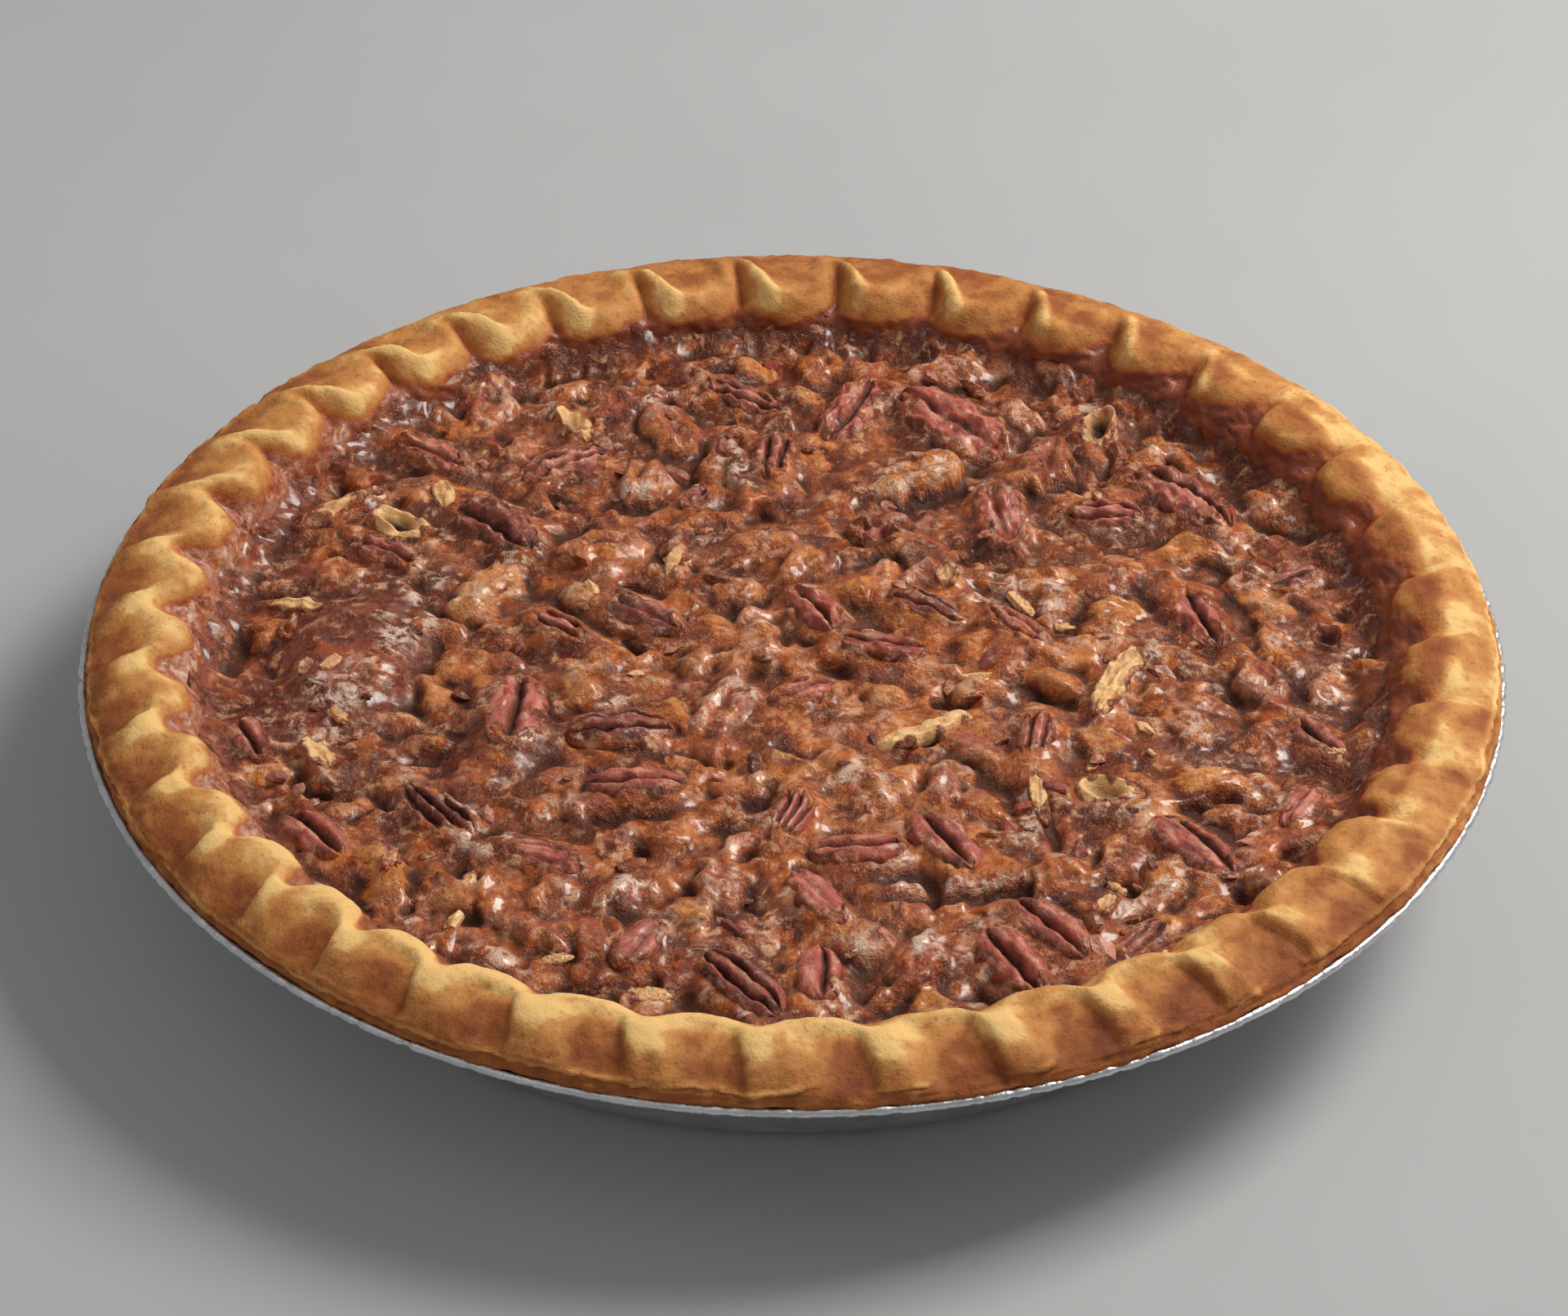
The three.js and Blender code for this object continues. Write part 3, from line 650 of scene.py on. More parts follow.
def syrup_group(name):
    """Colour of baked syrup: brown to caramel and gold with the warmth, rosy where a nut shows
    through, in small chunks of uneven colour, with dark specks, fine painted glints where it is warm,
    pale painted glints and streaks of painted highlight where it has sheen, and nearly black as painted
    shade in the gaps."""
    nodes, given, put = start_group(name, {
        "Warmth": 0.5, "Rosiness": 0.0, "Frost": 0.3, "Depth": 0.0, "Caramel": (0.5, 0.2, 0.05),
        "Brown": (0.2, 0.1, 0.03), "Rosy": (0.4, 0.15, 0.1), "Gaps": (0.05, 0.02, 0.01)}, "Colour")
    place = given["Vector"]
    chunk, shade = nodes.group("Flecks", Vector=place, Size=2.9)
    small = nodes.group("Mottle", Vector=place, Blotch=2.4, Speck=0.7)[0]
    warm = nodes.nudge(given["Warmth"], chunk, 0.5, 0.30)
    colour = nodes.colours(nodes.range(warm, 0.26, 0.74), given["Brown"], given["Caramel"])
    colour = nodes.colours(nodes.range(warm, 0.62, 1.04, 0.0, 0.7), colour, linear(226, 150, 78))
    rosy = nodes.times(given["Rosiness"], nodes.range(small, 0.05, 0.7))
    colour = nodes.colours(rosy, colour, given["Rosy"])
    colour = nodes.colours(nodes.range(shade, 0.70, 0.92, 0.0, 0.35), colour, linear(104, 50, 34))
    specks = nodes.range(nodes.cloud(place, 1.6, 3.0, 0.65, 0.5), 0.44, 0.35, 0.0, 0.35)
    colour = nodes.colours(specks, colour, linear(96, 44, 30))
    # fine painted glints where it is warm
    fine_glint = nodes.range(nodes.cloud(place, 1.15, 3.0, 0.65, 0.4), 0.47, 0.64, 0.0, 0.5)
    fine_glint = nodes.times(fine_glint, nodes.range(warm, 0.42, 0.75, 0.0, 0.9))
    colour = nodes.colours(fine_glint, colour, linear(228, 158, 92))
    # pale painted glints and streaks of painted highlight, the more where it has sheen
    glint = nodes.range(nodes.cloud(place, 2.6, 4.0, 0.62, 0.5), 0.50, 0.64)
    streak_and_shading = nodes.range(nodes.cloud(place, 3.4, 4.0, 0.6, 1.0), 0.46, 0.60)
    glint = nodes.sums("MAXIMUM", glint, nodes.times(streak_and_shading, given["Frost"]))
    patch = nodes.range(nodes.cloud(place, 6.0, 3.0, 0.6), 0.40, 0.62, 0.06, 0.78)
    share = nodes.plus(patch, nodes.times(given["Frost"], 0.55), clamp=True)
    pale = nodes.colours(given["Frost"], linear(230, 170, 126), linear(234, 202, 182))
    colour = nodes.colours(nodes.times(glint, share), colour, pale)
    # painted shade: nearly black where the gaps are deep
    nodes.fill(put, {"Colour": nodes.colours(given["Depth"], colour, given["Gaps"])})
    return nodes.tree


GROUPS = {"Mottle": mottle_group, "Flecks": fleck_group, "Syrup skin": bubble_group,
          "Syrup colour": syrup_group}


def syrup_colour(nodes, place, settings, warmth, rosiness, sheen, depth):
    """Colour of baked syrup from the filling's own colours."""
    # depth is the painted shade of the gaps
    return nodes.group(
        "Syrup colour", Vector=place, Warmth=warmth, Rosiness=rosiness, Frost=sheen, Depth=depth,
        Caramel=settings.caramel, Brown=settings.brown, Rosy=settings.rosy, Gaps=settings.dark)[0]


def start_material(name):
    """A new empty material, its nodes, and the place on the piece as Object coordinates."""
    look = bpy.data.materials.new(name)
    look.use_nodes = True
    look.node_tree.nodes.clear()
    nodes = Nodes(look.node_tree)
    return look, nodes, nodes.add("ShaderNodeTexCoord").outputs["Object"]


def crust_material(settings, filling):
    """Baked pastry: pale to brown with its value of baking and painted light and shade, mottled and
    finely grained, with a dark glossy film of syrup on the inner wall, painted lighter and rosier on the
    lit left side."""
    look, nodes, place = start_material("Baked pastry")
    blotches, specks = nodes.group("Mottle", Vector=place, Blotch=5.5, Speck=1.1)
    toast_and_shading = nodes.nudge(nodes.value("toast_and_shading"), blotches, 0.5, 0.16)
    toast_and_shading = nodes.nudge(toast_and_shading, specks, 0.3, 0.18, clamp=True)
    colour = nodes.colours(nodes.range(toast_and_shading, 0.0, 0.40), settings.pale, settings.golden)
    colour = nodes.colours(nodes.range(toast_and_shading, 0.32, 0.80), colour, settings.brown)
    colour = nodes.colours(nodes.range(toast_and_shading, 0.80, 1.05), colour, settings.dark)
    film = nodes.nudge(nodes.value("film"), nodes.cloud(place, 1.8, 3.0, 0.6), 0.5, 0.35)
    thin, thick = nodes.range(film, 0.12, 0.55), nodes.range(film, 0.40, 0.88)
    tone = nodes.range(nodes.cloud(place, 4.0), 0.35, 0.68)
    syrup = nodes.colours(tone, settings.film, linear(150, 76, 40))
    # on the lit left side the film is painted lighter and rosier, with painted glints
    left = syrup_colour(nodes, place, filling, 0.7, 0.8, 0.6, 0.0)
    syrup = nodes.colours(nodes.times(nodes.value("rosy"), 0.85), syrup, left)
    colour = nodes.colours(thin, colour, linear(190, 106, 50))
    fine, coarse = nodes.cloud(place, 0.55, 3.0, 0.6), nodes.cloud(place, 2.2, 3.0, 0.6)
    nodes.principled(
        Base_Color=nodes.colours(thick, colour, syrup),
        Roughness=nodes.range(thick, 0.0, 1.0, 0.74, 0.42),
        Coat_Weight=nodes.times(thick, 0.22), Coat_Roughness=0.2, Specular_IOR_Level=0.35,
        Normal=nodes.bump(0.9, settings.grain, nodes.plus(nodes.times(fine, 0.35), coarse)))
    return look


def filling_material(settings):
    """Baked syrup over nuts: orange-brown on the lumps, nearly black with painted shade in the gaps,
    rosy where a nut shows through and, as painted light, on the left wall, with painted highlights where
    it has sheen, in small chunks of uneven colour, bubbled, creased and glossy."""
    look, nodes, place = start_material("Baked syrup")
    warm = nodes.times(nodes.group("Mottle", Vector=place, Blotch=9.0, Speck=1.0)[0], 0.25)
    warm = nodes.plus(warm, nodes.times(nodes.value("lump"), 0.35))
    warm = nodes.plus(warm, nodes.times(nodes.value("tone"), 0.45))
    # deep marks the hollows and gaps: painted dark as shade, and less glossy
    deep = nodes.value("deep")
    gloss = nodes.range(nodes.cloud(place, 3.0), 0.35, 0.7, 0.26, 0.42)
    wet = nodes.range(nodes.cloud(place, 3.4, 2.0), 0.42, 0.62, 0.08, 0.80)
    rosy, sheen = nodes.value("rosy"), nodes.value("sheen")
    nodes.principled(
        Base_Color=syrup_colour(nodes, place, settings, warm, rosy, sheen, deep),
        Roughness=nodes.sums("MAXIMUM", gloss, nodes.times(deep, 0.8)),
        Coat_Weight=nodes.times(wet, nodes.range(deep, 0.1, 0.7, 1.0, 0.1)), Coat_Roughness=0.16,
        Specular_IOR_Level=0.42, Specular_Tint=(1.0, 0.80, 0.62),
        Normal=nodes.bump(1.0, 0.0008, nodes.group("Syrup skin", Vector=place, Cell=1.35, Grain=0.5)[0]))
    return look


def kernel_material(name, settings, filling, flesh_share):
    """A nut: brown to red skin with streaks along it, lighter on its ridges as painted highlight and
    darker in the grooves and on one flank as painted shade, with painted glints, pale where it is
    broken, with syrup at its edges."""
    look, nodes, place = start_material(name)
    blotches, specks = nodes.group("Mottle", Vector=place, Blotch=3.0, Speck=0.7)
    streak_and_shading, deep = nodes.value("streak_and_shading"), nodes.value("deep")
    colour = nodes.colours(nodes.value("red"), settings.skin, settings.red)
    # the higher parts are painted lighter as highlight, and below, the lower parts darker as shade
    colour = nodes.colours(nodes.range(streak_and_shading, 0.45, 0.85, 0.0, 0.65), colour, linear(236, 168, 142))
    dark = nodes.nudge(nodes.value("dark"), blotches, 0.5, 0.35, clamp=True)
    dark = nodes.plus(dark, nodes.range(streak_and_shading, 0.45, 0.12, 0.0, 0.65), clamp=True)
    colour = nodes.colours(dark, colour, settings.dark)
    baked = nodes.range(blotches, 0.3, 1.0, 0.0, 0.7)
    flesh = nodes.colours(baked, settings.flesh, linear(244, 168, 98))
    flesh = nodes.colours(nodes.times(specks, 0.2), flesh, linear(186, 98, 48))
    pale = nodes.range(nodes.plus(nodes.value("pale"), nodes.times(blotches, flesh_share)), 0.45, 0.8)
    colour = nodes.colours(pale, colour, flesh)
    smear = nodes.range(nodes.nudge(nodes.value("smear"), specks, 0.4, 0.4), 0.25, 0.85)
    colour = nodes.colours(smear, colour, syrup_colour(nodes, place, filling, 0.55, 0.25, 0.3, 0.0))
    # painted glints, most on the higher parts
    glint = nodes.range(nodes.cloud(place, 1.5, 3.0, 0.65, 0.5), 0.51, 0.66)
    glint = nodes.times(glint, nodes.range(streak_and_shading, 0.3, 0.7, 0.1, 0.6))
    colour = nodes.colours(glint, colour, linear(240, 188, 160))
    wet = nodes.range(nodes.cloud(place, 3.0, 2.0), 0.42, 0.62, 0.08, 0.55)
    skin = nodes.group("Syrup skin", Vector=place, Cell=1.5, Grain=0.5)[0]
    fine = nodes.times(nodes.cloud(place, 0.9, 4.0, 0.65), 0.6)
    nodes.principled(
        # the grooves are painted nearly black as shade
        Base_Color=nodes.colours(deep, colour, linear(48, 18, 15)),
        Roughness=nodes.range(smear, 0.0, 1.0, 0.42, 0.32),
        Coat_Weight=nodes.times(wet, nodes.range(deep, 0.05, 0.5, 1.0, 0.0)), Coat_Roughness=0.22,
        Specular_IOR_Level=0.42, Specular_Tint=(1.0, 0.82, 0.66),
        Normal=nodes.bump(0.9, 0.0009, nodes.plus(fine, nodes.times(nodes.times(skin, smear), 1.4))))
    return look


def foil_material(settings):
    """Bare foil: bright metal with soft dents and fine creases."""
    look, nodes, place = start_material("Wrinkled foil")
    dents, fine = nodes.cloud(place, 5.0, 4.0, 0.6, 0.8), nodes.cloud(place, 1.1, 3.0, 0.6)
    tone = nodes.range(nodes.cloud(place, 8.0), 0.3, 0.7)
    nodes.principled(
        Base_Color=nodes.colours(tone, settings.foil, linear(206, 208, 212)), Metallic=1.0,
        Roughness=nodes.range(nodes.cloud(place, 3.0), 0.3, 0.7, 0.32, 0.48),
        Normal=nodes.bump(0.7, 0.0007, nodes.plus(dents, nodes.times(fine, 0.25))))
    return look


def floor_material(settings):
    """A plain pale floor with the faintest unevenness."""
    look, nodes, place = start_material("Plain floor")
    tone = nodes.range(nodes.cloud(place, 120.0), 0.3, 0.7)
    darker = tuple(0.96 * v for v in settings.floor)
    nodes.principled(Base_Color=nodes.colours(tone, settings.floor, darker), Roughness=0.7)
    return look


# ---------------------------------------------------------------- shapes

def crimp_angles(turns, lean):
    """Angle in radians at a number of pillows round the rim: even steps of 360 degrees over the
    pillows, plus a start, four slow sine waves and a turn that grows with the lean."""
    even = 360 * turns / PILLOWS
    drift = sum(size * np.sin(np.radians(waves * even + phase)) for waves, size, phase in CRIMP_DRIFT)
    return np.radians(even + CRIMP_START + drift - CRIMP_LEAN * (lean - 0.5))


def turned(dx, dy, heading):
    """Along and across a heading, from a way in x and y."""
    c, s = cos(heading), sin(heading)
    return dx * c + dy * s, dy * c - dx * s


def carried(x, y, along, across, heading):
    """x and y of what lies a way along and across a heading from a point."""
    c, s = cos(heading), sin(heading)
    return x + along * c - across * s, y + along * s + across * c


def oval(x, y, x0, y0, heading, long, wide):
    """How far out of an oval a point is, 0 at its middle and 1 at its rim: the root of the sum
    of the squares of the ways along and across it, each over its own half."""
    p, q = turned(x - x0, y - y0, radians(heading))
    return np.hypot(p / long, q / wide)


def unit_ball(rings, columns):
    """A ball of radius 1 as rings of points round the x axis, and its two tips."""
    polar = np.linspace(0, pi, rings + 2)[1:-1][:, None]
    turn = (2 * pi * np.arange(columns) / columns)[None, :]
    across = np.sin(polar)
    ball = np.stack((np.cos(polar) + 0 * turn, across * np.cos(turn), across * np.sin(turn)), -1)
    return np.concatenate((ball.reshape(-1, 3), [[1, 0, 0], [-1, 0, 0]]))


def facing(angle, degrees, reach):
    """1 on the side of the pie at an angle, falling to 0 where the cosine of the way round to it
    reaches that of the reach."""
    return smooth(cos(radians(reach)), 1.0, np.cos(angle - radians(degrees)))


def crust_surface(settings):
    """The pastry. Its outline is carried round the axis. Each pillow swells with the sine of the
    share of the way across it, and behind that lobe it is dented where smooth steps of the share
    and of the radius overlap. At the back a bell-shaped fold stands beside the dent, and there
    and on the right a crease parts the pillows. Noise along the normal roughens it, below a
    ragged line the edge steps inward, and the syrup on the inner wall is crinkled."""
    outline = through(CRUST_OUTLINE)
    radius, height, inward, up, lean = outline.T[:, :, None]
    turns = np.arange(PILLOWS * settings.steps)[None, :] / settings.steps
    angle = crimp_angles(turns - 0.02, lean)
    number = np.floor(turns).astype(int)
    share = turns - number
    sides = {name: facing(angle, *at) ** 0.6 for name, at in CRUST_SIDES.items()}
    back, right = sides["back"], sides["right"]

    def sided(number, **others):
        """A number that becomes another one towards each named side in turn."""
        for name, other in others.items():
            number = mix(number, other, sides[name])
        return number

    # random numbers of each pillow, and the same blended over into the next one's
    chance = np.random.default_rng(11).uniform(size=(PILLOWS, 6))
    shared = mix(chance[number], chance[(number + 1) % PILLOWS], smooth(0.8, 1.0, share)[..., None])
    own, shared = np.moveaxis(chance[number], 2, 0), np.moveaxis(shared, 2, 0)

    # the pillows, with a lobe in the middle of each
    lopsided = np.clip(share + 0.07 * np.sin(2 * pi * share) * (own[1] - 0.4), 0, 1)
    lopsided = mix(lopsided, lopsided ** 1.4, back)
    wave = np.sin(pi * lopsided)
    lobe = mix(smooth(0.12, 0.95, wave), wave, mix(0.3, 1.0, back))
    size = mix(0.84, 1.20, own[0]) + 0.5 * (own[0] - 0.5) * facing(angle[:1], 8, 70)
    swell = settings.relief * (size * lobe - 0.6)
    swell = swell * (1 - 0.42 * facing(angle, 322, 115) ** 0.6) * (1 - 0.35 * facing(angle, 268, 32))
    wander = 0.5 * np.sin(3 * angle + 1) * np.sin(2 * angle)

    # the dent behind each lobe: its far side is the steeper on the left of the pie
    slack = 0.05 * (shared[2] - 0.5)
    inner = sided(117.2, front=114.6, back=113.0) + 1.2 * (shared[3] - 0.5)
    outer = sided(126.5, front=131.0, back=127.5, left=130.5)
    ridge_at = mix(0.62, 0.93, np.clip((radius - 113) / 13, 0, 1)) + slack
    dent = smooth(0.08 + slack, mix(0.30, 0.60, facing(angle, 228, 72) ** 0.7), lopsided)
    dent = dent * smooth(0.89 + slack, sided(0.78, left=0.82), lopsided)
    panel = smooth(0.02, 0.16, lopsided) * smooth(ridge_at, ridge_at - 0.16, lopsided)
    dent = mix(dent, panel, back) * smooth(inner, inner + 3.2, radius)
    dent = dent * smooth(outer, outer - 4.5, radius)
    ridge = (1 - lobe) * smooth(113.5, 118.0, radius) * smooth(128.5, 122.0, radius) * (1 - 2.4 * right)
    fold = np.exp(-((lopsided - ridge_at) / 0.145) ** 2)
    fold = fold * smooth(125.0, 117.5, radius) * smooth(108.0, 112.0, radius)
    ridge = mix(ridge, 1.3 * fold, back)
    deepness = sided(1.0, front=1.9, back=1.3) * mix(0.7, 1.3, own[4]) * (1 - 0.75 * right)
    r = radius - inward * swell
    z = height + up * swell + wander * smooth(30.0, 36.0, height) * (radius < 129)
    z = z + settings.relief * (0.7 * ridge - deepness * dent)
    crease = smooth(sided(0.11, right=0.27), 0.0, np.minimum(share, 1 - share))
    crease = crease * smooth(sided(123.0, right=125.0), sided(116.0, right=115.0), radius)
    crease = crease * np.maximum(back, right * mix(0.6, 1.5, shared[4]))
    z = z - sided(1.5, right=1.9) * crease * smooth(32.0, 36.0, height)

    # the ragged step of the outer edge
    shown = smooth(26.5, 28.5, height) * smooth(30.2, 31.8, height + 3 * (radius < 115))
    outside = smooth(126.5, 128.5, radius) * (height > 31.5)
    arc = 129 * angle
    line = 34.1 + 0.6 * rough(arc, 3.0, size=9.0, octaves=3, seed=31)
    line = line + 0.25 * noise(arc, 9.0, size=2.2, seed=33) - 0.6 * facing(angle, 215, 40)
    below = smooth(0.0, 0.30, line - z) * outside
    r = r - below * (0.45 + 0.3 * rough(arc, 8.0, size=6.0, octaves=2, seed=35)) * smooth(31.8, 32.8, z)
    r = r - outside * 0.5 * facing(angle, 205, 45) * smooth(35.5, 32.5, z)
    points = np.stack((r * np.cos(angle), r * np.sin(angle), z), -1)
    x, y, h = np.moveaxis(points, 2, 0)

    # where syrup has run up the wall, and the noise along the normal
    climb = (32.9 - 1.2 * facing(angle, 98, 70) + 1.4 * (1 - lobe) + 2.6 * facing(angle, 5, 75)
             + 1.8 * facing(angle, 190, 75) + 1.0 * rough(arc, h, size=7.0, octaves=3, seed=61))
    film = smooth(1.8, -1.2, z - climb) * smooth(119.0, 115.0, r)
    lift = 0.34 * rough(x, y, h, 9.0, 2, 41) + 0.18 * rough(x, y, h, 3.4, 2, 43)
    lift = lift + 0.06 * noise(x, y, h, 1.3, 46)
    flakes = (0.30 * noise(arc, h * 7, 0.0, 7.0, 49) + 0.22 * noise(arc, h * 3, 0.0, 2.4, 50)) * outside
    blister = 0.30 * smooth(0.35, 0.75, noise(x, y, h, 5.2, 52)) * smooth(34.0, 36.0, h)
    crinkle = 0.55 * (ridged(x, y, h, 4.2, 63) - 0.4) + 0.35 * (ridged(x, y, h, 2.0, 64) - 0.4)
    move = (lift + blister - 0.12 + flakes) * shown + film * crinkle * shown * smooth(27.5, 29.5, h)
    points = points + outward(points) * move[..., None]
    points[..., 2] = np.minimum(points[..., 2], CRUST_TOP)

    # how baked it is, with painted light and shade: brown in the dents, partly as painted shade that is
    # darkest on their far side, and down the outer slope, pale on the ridges, partly as painted
    # highlight
    cloudy = rough(x, y, h, 6.0, 3, 57)
    slope = smooth(sided(117.5, front=119.0, back=121.5), sided(123.5, front=127.0, back=128.0),
                   radius + 2.4 * noise(arc, 0.0, size=9.0, seed=66))
    # the dents' brown is partly painted shade, weighted to their far side
    brown = smooth(0.0, 0.85, dent * smooth(inner, inner + 6.5, radius))
    brown = brown * mix(sided(0.45, front=0.2), 1.0, smooth(0.15, 0.8, lopsided))
    # the ridges' paleness is partly painted highlight
    pale = smooth(0.3, 1.0, ridge) * smooth(129.0, 122.0, radius)
    spot = right * lobe * smooth(112.5, 115.5, r) * smooth(122.0, 117.0, r) * mix(0.4, 1.2, own[5])
    toast_and_shading = mix(sided(0.30, front=0.17, left=0.26), sided(0.50, left=0.58), slope)
    toast_and_shading = toast_and_shading + sided(0.34, front=0.44) * brown * mix(0.8, 1.05, smooth(-0.5, 0.5, cloudy))
    toast_and_shading = toast_and_shading - sided(0.22, back=0.34, front=0.30, left=0.34) * pale + 0.46 * spot
    for more, degrees, reach in ((0.17, 328, 62), (0.24, 70, 52), (-0.06, 98, 40)):
        toast_and_shading = toast_and_shading + more * facing(angle, degrees, reach)
    # the outer slope on the right is painted paler, as lit
    toast_and_shading = toast_and_shading - 0.40 * right * smooth(117.0, 120.5, r)
    # the inner crest at the front left is painted paler, as lit
    toast_and_shading = toast_and_shading - 0.40 * facing(angle, 232, 42) * smooth(118.0, 113.0, radius)
    # the creases are painted darker as shade
    toast_and_shading = toast_and_shading + 0.20 * cloudy + 0.08 * smooth(124.5, 128.5, radius) + 0.34 * crease
    toast_and_shading = toast_and_shading + 0.16 * below - 0.22 * smooth(0.5, 0.1, np.abs(z - line - 0.25)) * outside
    toast_and_shading = toast_and_shading + 0.22 * below * noise(arc, h * 2, 0.0, 3.0, 58)
    toast_and_shading = mix(toast_and_shading, 0.62, 0.6 * smooth(3.0, 0.4, z - climb) * smooth(119.0, 115.0, r))
    ends = [[0.0, 0.0, outline[0, 1]], [0.0, 0.0, outline[-1, 1]]]
    # rosy marks the lit left side, painted lighter
    values = {"toast_and_shading": np.clip(toast_and_shading, 0, 1), "film": film, "rosy": facing(angle, *LIT_SIDE)}
    return closed(points, ends, values, 0.5)


def tin_surface(settings):
    """The foil tin: its outline, out along the base, up the wall, round the rolled hem and back
    down inside, carried round the axis. The wall is pleated by a rounded wave, the hem is
    crumpled by noise along its length."""
    slope = np.arctan2(TIN_FLANGE_HEIGHT - TIN_SHEET, TIN_WALL_RADIUS - TIN_BASE_RADIUS)

    def wall(heights, inward=0.0):
        """Lines of the pleated wall at the given heights."""
        return [(TIN_BASE_RADIUS + 1.6 + (h - 1) / np.tan(slope) - inward, h, 1, 0) for h in heights]

    # lines of radius, height, how pleated, how crumpled
    lines = [(60.0, 0.0, 0, 0), (94.0, 0.0, 0, 0), (98.2, 0.0, 0, 0), (99.4, 0.25, 0, 0)]
    lines += [(*wall([1.4])[0][:2], 0.1, 0), *wall(np.linspace(2.4, 29.0, 22))]
    lines += [(122.4, 29.9, 0.8, 0), (124.5, 30.05, 0.4, 0), (127.2, 30.02, 0.2, 0.3)]
    for turn in np.radians(np.linspace(-100, 150, 16)):
        lines.append((HEM_CENTRE + 0.9 * HEM_RADIUS * cos(turn),
                      TIN_FLANGE_HEIGHT + HEM_RADIUS * (1 + 0.9 * sin(turn)), 0, 1))
    lines += [(127.2, 30.5, 0.2, 0.3), (123.0, 30.0, 0.6, 0)]
    lines += wall(np.linspace(28.5, 2.6, 12), TIN_SHEET / np.sin(slope))
    lines += [(99.0, 0.9, 0, 0), (97.8, 0.6, 0, 0), (60.0, 0.6, 0, 0)]
    radius, height, pleated, hem = np.array(lines, float).T[:, :, None]
    angle = 2 * pi * np.arange(TIN_COLUMNS)[None, :] / TIN_COLUMNS
    sway = 0.35 * noise(40 * np.cos(angle), 40 * np.sin(angle), size=12.0, seed=5)
    pleat = np.abs(np.sin(0.5 * settings.pleats * angle + sway)) ** 0.7
    r = radius - pleated * (settings.pleat_depth / MM) * (1 - pleat) * smooth(1.0, 6.0, height)
    arc = 130 * angle
    crumple = 0.20 * noise(arc, 0.0, size=2.6, seed=71) + 0.14 * noise(arc, 0.0, size=1.0, seed=72)
    tick = 0.35 * smooth(0.45, 0.75, noise(arc, 5.0, size=3.4, seed=73))
    squeeze = hem * np.clip(0.08 - crumple + tick, 0.0, 0.7)
    r = r - squeeze * (radius - HEM_CENTRE + 0.9)
    z = height - squeeze * (height - TIN_FLANGE_HEIGHT - 0.5)
    points = np.stack((r * np.cos(angle), r * np.sin(angle), z), -1)
    return closed(points, [[0, 0, 0.0], [0, 0, TIN_SHEET]])


# ---------------------------------------------------------------- kernels

